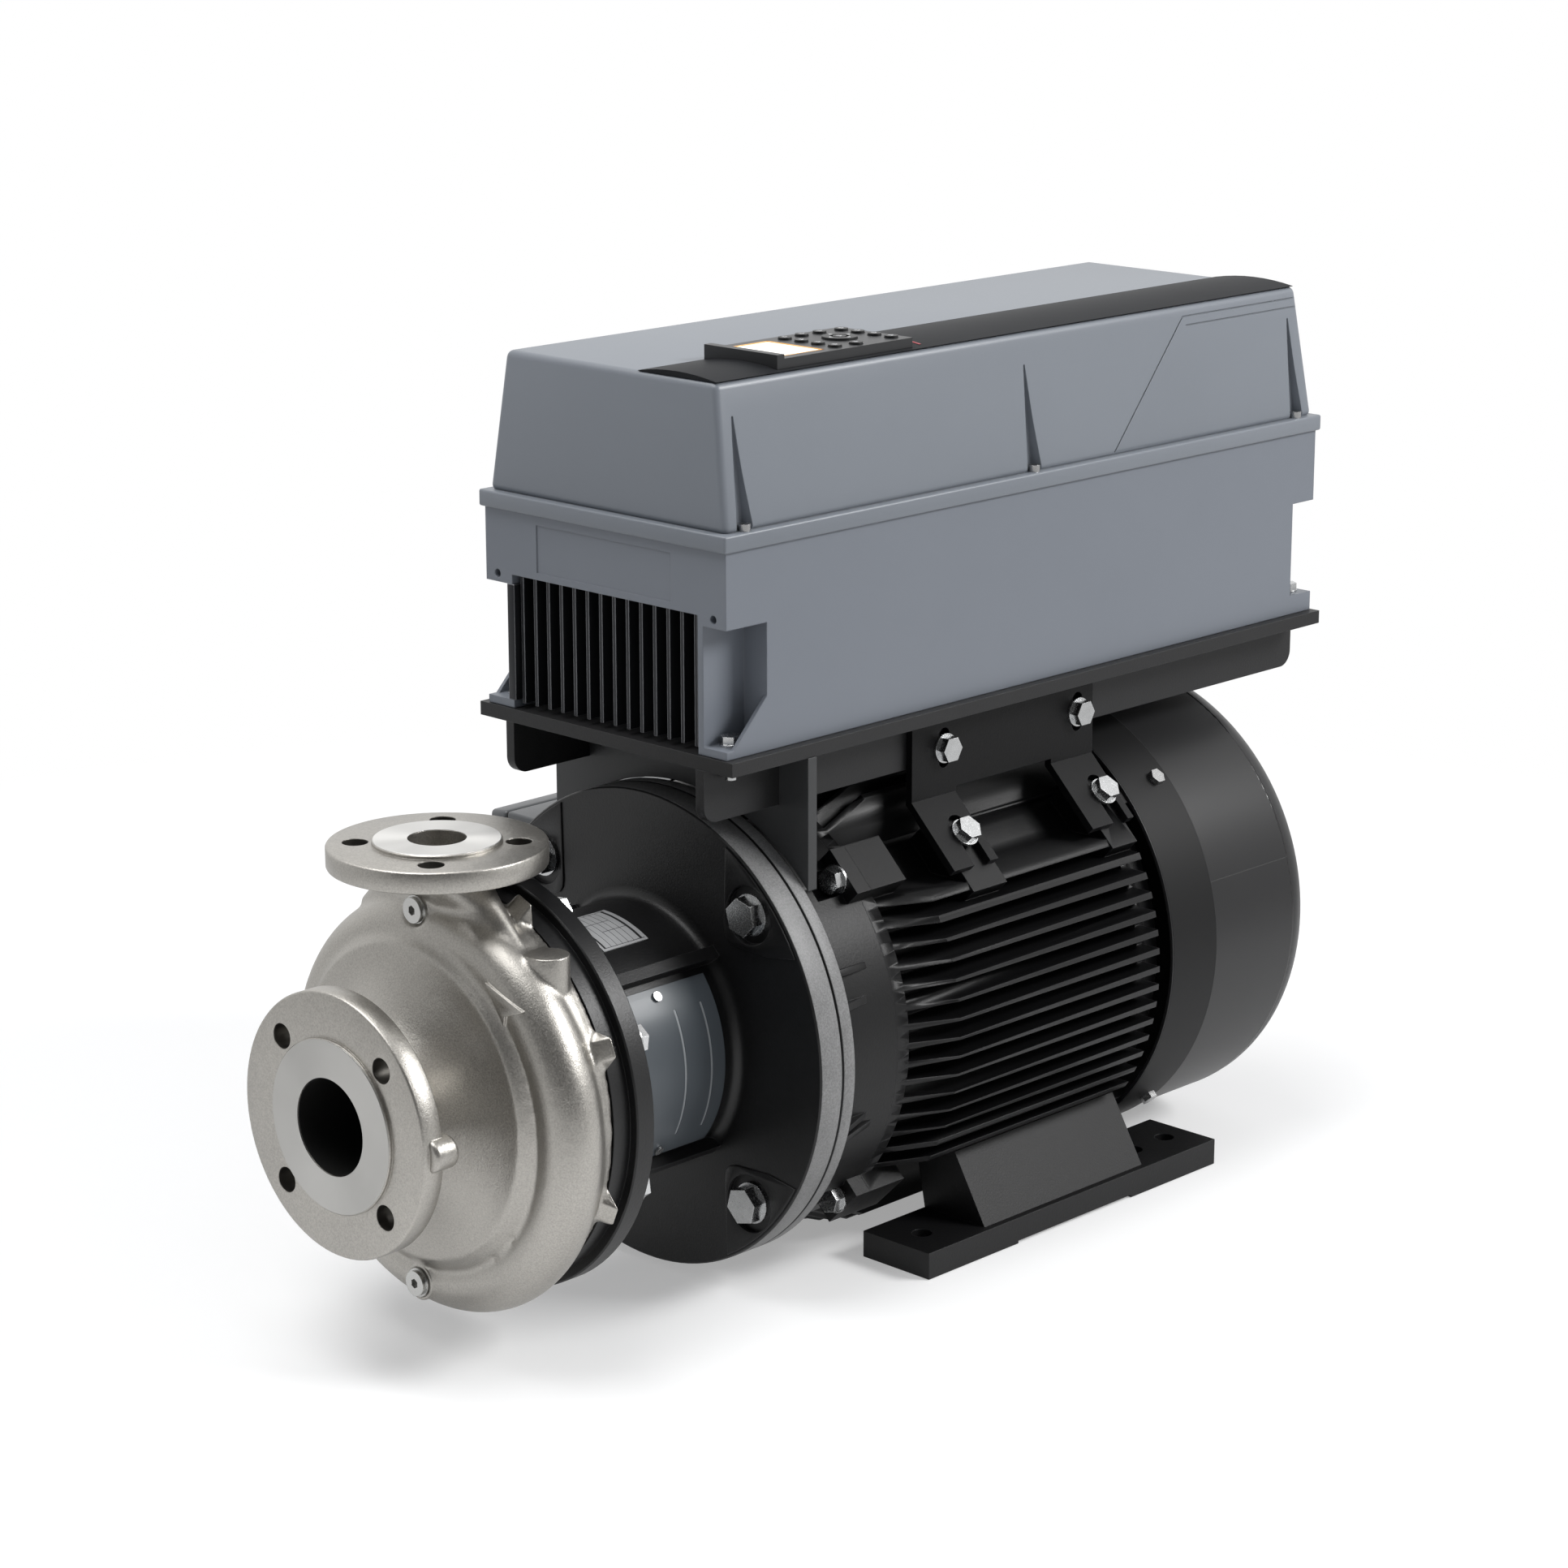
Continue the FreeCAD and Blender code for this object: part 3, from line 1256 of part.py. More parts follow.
def race(label, front, edge, back_edge, side):
    """A bearing ring with a ball groove. Side is 1 for the outer ring."""
    middle = front + " + bearing_width*0.5"
    return turned(label, [
        (front, edge), (middle + " - groove_half", edge), (middle + " + groove_half", edge, "race_groove", side),
        (front + " + bearing_width", edge), (front + " + bearing_width", back_edge), (front, back_edge)])


FRONTS = ["front_bearing_front", "rear_bearing_front"]
outer_races = [race("outer_%s" % front, front, "race_outer", "bearing_seat", -1) for front in FRONTS]
inner_races = [race("inner_%s" % front, front, "race_inner", "bearing_shaft", 1) for front in FRONTS]
named(group(*outer_races), "bearing_outer_rings")
named(group(*inner_races), "bearing_inner_rings")
balls = []
for front in FRONTS:
    ball = doc.addObject("Part::Sphere", "ball")
    bind(ball, "Radius", "ball_radius")
    put(ball, (front + " + bearing_width*0.5", "0", "race_middle"))
    balls.append(ring(ball, [360 / SIZES["ball_count"] * i for i in range(SIZES["ball_count"])]))
named(group(*balls), "bearing_balls")

back_shield = turned("back_shield", [
    ("frame_back", "rear_shield_inner"), ("frame_back", "rear_shield_radius"),
    ("rear_shield_back", "rear_shield_radius"), ("rear_web_front + edge_break*6", "bearing_house"),
    ("rear_house_back", "bearing_house"), ("rear_house_back", "shield_seal_bore"),
    ("rear_bearing_front + bearing_width", "shield_seal_bore"),
    ("rear_bearing_front + bearing_width", "bearing_seat"),
    ("rear_bearing_front", "bearing_seat"), ("rear_bearing_front", "bearing_house + edge_break*2"),
    ("rear_shield_back - edge_break*6", "bearing_house + rear_web_dish")])
arm = box(("frame_back + edge_break*5", "-cover_lug_half", "rear_shield_inner - edge_break*2"),
          "cover_screw_x - frame_back + edge_break*6", "cover_lug_half*2", "cover_band_radius - rear_shield_inner")
arms = common(ring(arm, QUARTERS),
              cylinder("cover_band_radius - cover_wall", "cover_band_back - frame_back", ("frame_back", "0", "0")))
cover_screw_hole = cylinder("cover_screw_radius", "m10_length",
                            ("cover_screw_x", "0", "cover_band_radius - m10_length + edge_break*2"), "z")
named(cut(join(back_shield, arms), ring(cover_screw_hole, QUARTERS)), "rear_end_shield")

# Fan and fan cover.
fan_core = cut(fuse(cylinder("fan_hub_radius", "fan_hub_length", ("fan_front", "0", "0")),
                    cylinder("fan_plate_radius", "fan_plate_length", ("fan_front", "0", "0"))),
               cylinder("fan_shaft_radius", "fan_hub_length + edge_break*2", ("fan_front - edge_break", "0", "0")))
fan_blade = box(("fan_front", "-fan_blade_thickness*0.5", "fan_hub_radius - edge_break"),
                "fan_blade_length", "fan_blade_thickness", "fan_blade_radius - fan_hub_radius + edge_break")
fan_angles = [360 / SIZES["fan_blade_count"] * i for i in range(SIZES["fan_blade_count"])]
named(fuse(fan_core, ring(fan_blade, fan_angles)), "cooling_fan")
hood = turned("hood", [
    ("cover_band_front", "cover_band_radius - cover_wall"), ("cover_band_front", "cover_band_radius"),
    ("cover_band_back", "cover_band_radius"), ("cover_band_back + edge_break*2", "cover_radius"),
    ("cover_turn", "cover_radius"), ("cover_end", "cover_end_radius", "cover_end - cover_turn", -1),
    ("cover_end", "0"), ("cover_end - cover_wall", "0"), ("cover_end - cover_wall", "cover_end_radius - edge_break"),
    ("cover_turn", "cover_radius - cover_wall", "cover_end - cover_turn - cover_wall", 1),
    ("cover_band_back + edge_break*2", "cover_radius - cover_wall"),
    ("cover_band_back", "cover_band_radius - cover_wall")])
grille = [shell_sector("grille_inner + grille_slot_width*%g" % (2 * i),
                       "grille_inner + grille_slot_width*%g" % (2 * i + 1),
                       "grille_slot_front - edge_break*2", "edge_break*8", "grille_angle", a)
          for i in range(8) for a in QUARTERS]
named(cut(hood, group(*grille), ring(cover_screw_hole, QUARTERS)), "fan_cover")
cover_screw_seat = ("cover_screw_x", "0", "cover_band_radius")
cover_screw = fuse(prism("cover_screw_corner", "cover_screw_head", cover_screw_seat, "z"),
                   cylinder("cover_screw_radius", "m10_length - edge_break*6", cover_screw_seat, "-z"))
named(ring(cover_screw, QUARTERS), "fan_cover_screws")

# Motor feet: a drilled bar with a leaning web up to the frame.
bar = box(("foot_front", "-foot_inner - foot_width", "-shaft_height"), "foot_length", "foot_width",
          "foot_thickness")
relief = box(("relief_front", "-foot_inner - foot_width - edge_break", "-shaft_height - edge_break"),
             "relief_length", "foot_width + edge_break*2", "relief_depth + edge_break")
foot_holes = [cylinder("foot_hole", "foot_thickness + edge_break*2",
                       (x, "-foot_hole_side", "-shaft_height - edge_break"), "z")
              for x in ("foot_hole_front", "foot_hole_middle", "foot_hole_back")]
foot_web = new_body("foot_web")
pad(foot_web, draw(foot_web, "YZ_Plane", [
    ("-web_outer", "-shaft_height + foot_thickness - edge_break"),
    ("-web_outer", "-shaft_height + foot_thickness"), ("-web_top_outer", "-web_top_height"),
    ("-web_top_inner", "-web_top_height"), ("-foot_inner", "-shaft_height + foot_thickness"),
    ("-foot_inner", "-shaft_height + foot_thickness - edge_break")], offset="web_front"), "web_length")
frame_room = fuse(cylinder("frame_outer", "foot_length", ("foot_front", "0", "0")),
                  cylinder("rear_shield_radius", "foot_length", ("frame_back - rear_ring", "0", "0")))
foot = cut(fuse(bar, cut(foot_web, frame_room)), relief, *foot_holes)
named(both(foot), "motor_feet")

# Terminal box on the far side: an open case with two cable entries below, and its lid.
def terminal_block(inner, outer, wall):
    """A block of the terminal box between two distances from the shaft, smaller by a wall."""
    return span("terminal_front + " + wall, "terminal_front + terminal_length - " + wall, inner, outer,
                "-terminal_half + " + wall, "terminal_half - " + wall)


glands = [cylinder("gland_radius", "terminal_half",
                   ("terminal_front + terminal_length*%g" % share,
                    "terminal_inner*0.5 + terminal_seam*0.5", "-terminal_half*0.5"), "-z")
          for share in (0.3, 0.7)]
named(cut(terminal_block("terminal_inner", "terminal_seam", "0"),
          terminal_block("terminal_inner + terminal_wall", "terminal_seam + edge_break", "terminal_wall"),
          *glands), "terminal_box")
named(cut(terminal_block("terminal_seam", "terminal_outer", "0"),
          terminal_block("terminal_seam - edge_break", "terminal_outer - terminal_wall", "terminal_wall")),
      "terminal_box_lid")

# Plate, rails and cross plate that carry the drive.
deck = box(("deck_front", "-deck_half", "deck_low"), "deck_length", "deck_half*2", "deck_thickness")
deck_hole = group(*[cylinder("m8_radius", "m8_length*2", (x, "-m8_side", "deck_low - edge_break"), "z")
                    for x in ("m8_front", "m8_back")])
named(cut(deck, both(deck_hole)), "support_plate")
rail = new_body("rail_sheet")
pad(rail, draw(rail, "XZ_Plane", [
    ("deck_front", "deck_low"), ("deck_front", "rail_low + rail_corner"),
    ("deck_front + rail_corner", "rail_low", "rail_corner", 1),
    ("deck_front + deck_length - rail_corner", "rail_low"),
    ("deck_front + deck_length", "rail_low + rail_corner", "rail_corner", 1),
    ("deck_front + deck_length", "deck_low")], offset="rail_inner"), "rail_thickness")
rail_holes = [cylinder("m10_radius", "m10_length*2", (x, "-rail_inner + edge_break", "rail_bolt_height"), "-y")
              for x in ("bracket_bolt_front", "bracket_bolt_back")]
named(both(cut(rail, *rail_holes)), "support_rails")
plate = box(("cross_front", "-cross_half", "0"), "cross_thickness", "cross_half*2", "deck_low")
rail_slot = span("cross_front - edge_break", "cross_front + cross_thickness + edge_break", "rail_inner",
                 "rail_inner + rail_thickness", "rail_low", "deck_low + edge_break")
named(cut(plate, cylinder("cross_gap", "cross_thickness + edge_break*2", ("cross_front - edge_break", "0", "0")),
          both(rail_slot), box(("cross_front - edge_break", "-cross_half - edge_break", "-edge_break"),
                               "cross_thickness + edge_break*2", "cross_half*2 + edge_break*2", "cross_leg_low")),
      "cross_plate")

# Bent brackets from the rails down to pads on the motor frame. Each is a sheet with an upright
# part on the rail and two sloping legs, slotted for its bolts.
wall = span("bracket_front", "bracket_front + bracket_length",
            "-rail_inner - rail_thickness - bracket_thickness", "-rail_inner - rail_thickness",
            "bracket_bend", "deck_low")
slope = box(("bracket_front", "-bracket_leg_low", "bracket_plane"),
            "bracket_length", "bracket_leg_low*2 + fin_depth", "bracket_thickness")
under = box(("bracket_front - edge_break", "-fin_radius", "bracket_plane - fin_radius*2"),
            "bracket_length + edge_break*2", "fin_radius*2", "fin_radius*2")
inner_half = span("bracket_front - edge_break", "bracket_front + bracket_length + edge_break",
                  "-rail_inner - rail_thickness", "edge_break", "0", "deck_low + fin_depth")


def sloped(thing):
    """Turned from the top of the frame to its upper corner on the -Y side."""
    return rolled(thing, 45)


leg_gap = span("bracket_front + bracket_leg_width", "bracket_front + bracket_length - bracket_leg_width",
               "-fin_radius", "0", "0", "bracket_gap_top")
leg_slots = [group(box((x + " - bracket_slot_half", "-fin_depth", "bracket_plane - edge_break"),
                       "bracket_slot_half*2", "fin_depth + bracket_slot_top", "bracket_thickness + edge_break*2"),
                   cylinder("bracket_slot_half", "bracket_thickness + edge_break*2",
                            (x, "bracket_slot_top", "bracket_plane - edge_break"), "z"))
             for x in ("leg_bolt_front", "leg_bolt_back")]


def oblong(x):
    """An upright slot for a bolt through the bracket and its rail."""
    spot = ("-rail_inner - rail_thickness + edge_break", "rail_bolt_height")
    ends = [cylinder("rail_slot_half", "bracket_thickness + edge_break*2",
                     (x, spot[0], "%s %s rail_slot_reach" % (spot[1], side)), "-y") for side in "-+"]
    middle = span(x + " - rail_slot_half", x + " + rail_slot_half",
                  "-rail_inner - rail_thickness - bracket_thickness - edge_break",
                  "-rail_inner - rail_thickness + edge_break",
                  "rail_bolt_height - rail_slot_reach", "rail_bolt_height + rail_slot_reach")
    return fuse(*ends, middle)


bracket = cut(fuse(cut(wall, sloped(under)), cut(sloped(slope), inner_half)), leg_gap,
              *[sloped(slot) for slot in leg_slots],
              oblong("bracket_bolt_front"), oblong("bracket_bolt_back"))
named(both(bracket), "side_brackets")
rail_bolts = [hex_bolt("m10", (x, "-rail_inner - rail_thickness - bracket_thickness", "rail_bolt_height"),
                       "-y", "m10_length") for x in ("bracket_bolt_front", "bracket_bolt_back")]
leg_bolts = [sloped(hex_bolt("m10", (x, "0", "bracket_plane + bracket_thickness"), "z", "m10_length"))
             for x in ("leg_bolt_front", "leg_bolt_back")]
named(both(group(*(rail_bolts + leg_bolts))), "bracket_bolts")

# The drive: housing with a tunnel for the heat sink, lid with tapered sides.
outer_box = span("drive_front", "drive_back", "-drive_half", "drive_half", "drive_low", "drive_seam")
rear_step = span("drive_step_back", "drive_back + edge_break", "-drive_half - edge_break",
                 "drive_half + edge_break", "drive_foot_top", "drive_step_height")
tunnel = span("drive_front - edge_break", "drive_back + edge_break", "-sink_open_half", "sink_open_half",
              "drive_low - edge_break", "sink_open_top")
inside = span("drive_front + drive_wall*2", "drive_step_back - drive_wall*2", "-drive_half + drive_wall",
              "drive_half - drive_wall", "sink_plate_low + sink_plate_thickness", "drive_seam + edge_break")
sink_seat = span("drive_front + drive_wall", "sink_back", "-sink_plate_half", "sink_plate_half",
                 "sink_open_top - edge_break", "sink_plate_low + sink_plate_thickness + drive_wall")
corner = new_body("corner_pocket")
pad(corner, draw(corner, "XZ_Plane", [
    ("drive_front - edge_break", "pocket_low"), ("drive_front - edge_break", "pocket_high"),
    ("drive_front + pocket_length", "pocket_high"), ("drive_front + pocket_length", "pocket_slant_height"),
    ("pocket_slant_x", "pocket_low")], offset="drive_half - pocket_skin"), "pocket_skin + edge_break")
pocket = span("drive_front - edge_break", "drive_front + pocket_length",
              "-drive_half + pocket_skin - edge_break*0.1", "-drive_half + pocket_depth",
              "pocket_low", "pocket_high")
hold_down_hole = [cylinder("m8_radius", "m8_length", (x, "-m8_side", z), "-z")
                  for x, z in (("m8_front", "pocket_low + edge_break"), ("m8_back", "drive_foot_top + edge_break"))]
port = cylinder("port_radius", "port_depth + edge_break", ("drive_front - edge_break", "-port_side", "port_height"))
label_recess = span("drive_front - edge_break", "drive_front + label_recess", "-label_half", "label_half",
                    "label_low", "label_high")
named(cut(outer_box, rear_step, tunnel, inside, sink_seat, both(corner), both(pocket), both(port),
          label_recess, both(group(*hold_down_hole))), "drive_base")
hold_downs = [hex_bolt("m8", (x, "-m8_side", z), "z", "m8_length")
              for x, z in (("m8_front", "pocket_low"), ("m8_back", "drive_foot_top"))]
named(both(group(*hold_downs)), "drive_bolts")
sink_plate = span("drive_front + drive_wall", "sink_back", "-sink_plate_half", "sink_plate_half",
                  "sink_open_top", "sink_plate_low + sink_plate_thickness")
first_fin = "-sink_fin_pitch*%g - sink_fin_thickness*0.5" % ((SIZES["sink_fin_count"] - 1) / 2)
sink_fins = [box(("sink_front", first_fin + " + sink_fin_pitch*%d" % i, "sink_fin_low"),
                 "sink_back - sink_front", "sink_fin_thickness", "sink_open_top - sink_fin_low + edge_break")
             for i in range(SIZES["sink_fin_count"])]
named(fuse(sink_plate, *sink_fins), "heat_sink")


def lid_block(inset, low, high):
    """The lid's tapered block, smaller by the inset on every side."""
    made = new_body("lid_block")
    lower = draw(made, "XY_Plane", [
        ("lid_front + " + inset, "-lid_half + " + inset), ("lid_back - " + inset, "-lid_half + " + inset),
        ("lid_back - " + inset, "lid_half - " + inset), ("lid_front + " + inset, "lid_half - " + inset)], offset=low)
    upper = draw(made, "XY_Plane", [
        ("lid_top_front + " + inset, "-lid_top_right + " + inset),
        ("lid_top_back - " + inset, "-lid_top_right + " + inset),
        ("lid_top_back - " + inset, "lid_top_left - " + inset),
        ("lid_top_front + " + inset, "lid_top_left - " + inset)], offset=high)
    loft = made.newObject("PartDesign::AdditiveLoft", "taper")
    loft.Profile = lower
    loft.Sections = [upper]
    loft.Ruled = True
    made.Tip = loft
    return made


lid_outer = lid_block("0", "lid_seam", "lid_top")
lid_inner = lid_block("lid_wall", "lid_seam", "lid_top - lid_wall")
rim = span("lid_rim_front", "lid_rim_back", "-lid_rim_half", "lid_rim_half", "drive_seam", "lid_seam")
rim_room = span("lid_front + lid_wall", "lid_back - lid_wall", "-lid_half + lid_wall", "lid_half - lid_wall",
                "drive_seam - edge_break", "lid_seam + edge_break")
LID_SCREWS = ("lid_dent_front", "lid_dent_middle", "lid_dent_back")
dents = []
for x in LID_SCREWS:
    dent = new_body("lid_dent")
    low = draw(dent, "XY_Plane", [
        (x + " - dent_half", "-lid_half - edge_break*2"), (x + " + dent_half", "-lid_half - edge_break*2"),
        (x, "-lid_half + dent_depth")], offset="lid_seam")
    high = draw(dent, "XY_Plane", [
        (x + " - dent_tip", "-dent_tip_outer"), (x + " + dent_tip", "-dent_tip_outer"),
        (x, "-dent_tip_inner")], offset="lid_dent_height")
    taper = dent.newObject("PartDesign::AdditiveLoft", "taper")
    taper.Profile = low
    taper.Sections = [high]
    taper.Ruled = True
    dent.Tip = taper
    dents.append(dent)
lid_screw_hole = [cylinder("lid_screw_thread", "lid_screw_length", (x, "-lid_screw_side", "lid_seam"), "-z")
                  for x in LID_SCREWS]
lid_screw_seat = [cylinder("lid_screw_head + edge_break*0.4", "lid_screw_height + edge_break",
                           (x, "-lid_screw_side", "lid_seam"), "z") for x in LID_SCREWS]
named(cut(fuse(lid_outer, rim), lid_inner, rim_room, both(group(*dents)), both(group(*lid_screw_hole)),
          both(group(*lid_screw_seat))), "drive_lid")
lid_screws = [fuse(cylinder("lid_screw_head", "lid_screw_height", (x, "-lid_screw_side", "lid_seam"), "z"),
                   cylinder("lid_screw_thread", "lid_screw_length - edge_break*3",
                            (x, "-lid_screw_side", "lid_seam"), "-z"))
              for x in LID_SCREWS]
named(both(group(*lid_screws)), "lid_screws")

strip = new_body("strip")
strip_profile = draw(strip, "YZ_Plane", [
    ("-strip_left", "lid_top"), ("-strip_left", "lid_top + edge_break*0.3"),
    ("-strip_right", "lid_top + edge_break*0.3", "strip_crown", 1), ("-strip_right", "lid_top")], offset="strip_front")
pad(strip, strip_profile, "strip_back - strip_front")
named(strip, "lid_trim_strip")

# The control panel with its keys, each key in a well of its own.
KEYS = {
    "status_key": ("first_row_x", "-key_middle - key_spread*1.5"),
    "quick_menu_key": ("first_row_x", "-key_middle - key_spread*0.5"),
    "main_menu_key": ("first_row_x", "-key_middle + key_spread*0.5"),
    "alarm_log_key": ("first_row_x", "-key_middle + key_spread*1.5"),
    "back_key": ("side_key_x", "-key_middle - side_key_offset"),
    "cancel_key": ("side_key_x", "-key_middle + side_key_offset"),
    "info_key": ("side_key_back_x", "-key_middle + side_key_offset"),
    "hand_on_key": ("last_row_x", "-key_middle - key_spread*1.5"),
    "off_key": ("last_row_x", "-key_middle - key_spread*0.5"),
    "auto_on_key": ("last_row_x", "-key_middle + key_spread*0.5"),
    "reset_key": ("last_row_x", "-key_middle + key_spread*1.5"),
    "ok_key": ("ring_key_x", "-key_middle"),
}
slab = span("panel_front", "panel_back", "-panel_right", "-panel_left", "panel_low", "panel_top")
lip = span("panel_front", "panel_front + panel_lip", "-panel_right", "-panel_left", "panel_top",
           "panel_top + panel_lip_rise")


def well(radius, x, y):
    """A round recess of the panel, deep enough for a key's travel."""
    return cylinder(radius, "key_top - key_floor", (x, y, "key_floor"), "z")


wells = [well("key_radius + key_gap", x, y) for x, y in KEYS.values()]
ring_well = cut(well("ring_key_outer + key_gap", "ring_key_x", "-key_middle"),
                well("ring_key_inner - key_gap", "ring_key_x", "-key_middle"))
screen = span("screen_front", "screen_front + screen_length", "-key_middle - screen_half",
              "-key_middle + screen_half", "panel_top - screen_depth", "panel_top + edge_break")
under_panel = span("panel_front - edge_break", "panel_back + edge_break", "-panel_right - edge_break",
                   "-panel_left + edge_break", "lid_top - lid_wall", "lid_top")
named(cut(fuse(slab, lip), under_panel, strip, *wells, ring_well, screen), "control_panel")
for name, (x, y) in KEYS.items():
    named(cylinder("key_radius", "key_top - key_low", (x, y, "key_low"), "z"), name)
ring_bore = cylinder("ring_key_inner", "key_top - key_low + edge_break*2",
                     ("ring_key_x", "-key_middle", "key_low - edge_break"), "z")
named(cut(cylinder("ring_key_outer", "key_top - key_low", ("ring_key_x", "-key_middle", "key_low"), "z"),
          ring_bore), "arrow_ring_key")

NODES = [
    "pump_casing", "casing_plugs", "casing_wear_ring", "impeller", "impeller_nut", "pump_shaft", "shaft_keys",
    "pump_cover", "cover_o_ring", "seal_seat", "seal_head", "seal_bellows", "casing_bolts", "motor_stool",
    "guard_plates", "guard_screws", "name_plate", "stool_bolts", "drive_end_shield", "motor_frame", "shield_bolts",
    "stator_core", "stator_windings", "rotor_core", "motor_shaft", "bearing_outer_rings", "bearing_inner_rings",
    "bearing_balls", "rear_end_shield", "cooling_fan", "fan_cover", "fan_cover_screws", "motor_feet",
    "drive_bolts", "terminal_box", "terminal_box_lid", "support_plate", "support_rails", "cross_plate",
    "side_brackets", "bracket_bolts", "drive_base", "heat_sink", "drive_lid", "lid_screws", "lid_trim_strip",
    "control_panel", "arrow_ring_key",
] + list(KEYS)

doc.recompute()
for thing in doc.Objects:
    if "Invalid" in thing.State or "Error" in thing.State:
        raise RuntimeError("%s (%s) failed: %s" % (thing.Name, thing.Label, thing.State))
os.makedirs("parts", exist_ok=True)
for label in NODES:
    found = doc.getObjectsByLabel(label)
    if len(found) != 1:
        raise RuntimeError("%s: %d objects" % (label, len(found)))
    shape = found[0].Shape
    if shape.isNull() or not shape.isValid() or not shape.Solids:
        raise RuntimeError("%s has no valid solid" % label)
    shape.exportStep("parts/%s.step" % label)
    bounds = shape.optimalBoundingBox()
    print("%-20s solids %3d  volume %10.1f  x %.1f %.1f  y %.1f %.1f  z %.1f %.1f" % (
        label, len(shape.Solids), shape.Volume, bounds.XMin, bounds.XMax,
        bounds.YMin, bounds.YMax, bounds.ZMin, bounds.ZMax))
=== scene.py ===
import json
import math

import bpy
from mathutils import Euler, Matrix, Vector


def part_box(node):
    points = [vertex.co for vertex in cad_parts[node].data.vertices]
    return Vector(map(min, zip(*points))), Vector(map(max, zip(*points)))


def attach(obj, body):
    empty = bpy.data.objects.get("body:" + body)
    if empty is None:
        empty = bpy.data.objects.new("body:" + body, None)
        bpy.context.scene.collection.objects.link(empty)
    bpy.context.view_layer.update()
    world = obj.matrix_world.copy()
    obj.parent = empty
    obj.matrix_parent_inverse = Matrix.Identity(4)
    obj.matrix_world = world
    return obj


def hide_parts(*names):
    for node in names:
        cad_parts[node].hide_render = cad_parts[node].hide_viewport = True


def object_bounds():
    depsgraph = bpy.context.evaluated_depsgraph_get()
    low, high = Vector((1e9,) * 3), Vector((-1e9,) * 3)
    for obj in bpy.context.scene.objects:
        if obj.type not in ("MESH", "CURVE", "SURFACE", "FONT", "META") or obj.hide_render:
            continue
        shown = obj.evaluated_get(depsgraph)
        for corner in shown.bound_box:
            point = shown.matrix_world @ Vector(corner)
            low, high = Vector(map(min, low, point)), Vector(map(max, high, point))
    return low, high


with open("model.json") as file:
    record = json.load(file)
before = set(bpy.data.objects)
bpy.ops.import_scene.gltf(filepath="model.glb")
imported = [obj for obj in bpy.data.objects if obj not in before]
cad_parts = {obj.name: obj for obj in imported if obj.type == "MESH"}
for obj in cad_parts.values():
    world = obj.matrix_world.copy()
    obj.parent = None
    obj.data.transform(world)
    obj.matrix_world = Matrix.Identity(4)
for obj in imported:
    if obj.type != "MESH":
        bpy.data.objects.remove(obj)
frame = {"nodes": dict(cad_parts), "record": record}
cad_low, cad_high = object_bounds()
bpy.ops.object.select_all(action="DESELECT")

# Outlines and sizes below are in millimetres. X runs along the shaft to the rear, +Y is the far side.
MM = 0.001
SHAFT, FAR_SIDE, UP = Vector((1, 0, 0)), Vector((0, 1, 0)), Vector((0, 0, 1))

# An edge takes its edge tone, rubbed wear and painted highlight both, where its rounded normal
# leans from its flat one: the cosine of that lean where the edge tone starts, and where it is full.
# Waves are a fiftieth as deep as they are long.
EDGE_STARTS, EDGE_FULL = 0.995, 0.86
WAVE_DEPTH = 0.02
PLASTIC_IOR = 1.5


def linear(code):
    """An sRGB hex colour as the linear colour that a shader wants."""
    parts = [int(code[i:i + 2], 16) / 255 for i in (1, 3, 5)]
    return [c / 12.92 if c <= 0.04045 else ((c + 0.055) / 1.055) ** 2.4 for c in parts] + [1.0]


def node(tree, kind, settings, links=None):
    """Adds a node, sets its sockets and options by name, and joins its inputs."""
    made = tree.nodes.new(kind)
    for name, value in settings.items():
        if isinstance(name, int) or name in made.inputs:
            made.inputs[name].default_value = value
        else:
            setattr(made, name, value)
    for name, source in (links or {}).items():
        tree.links.new(source, made.inputs[name])
    return made


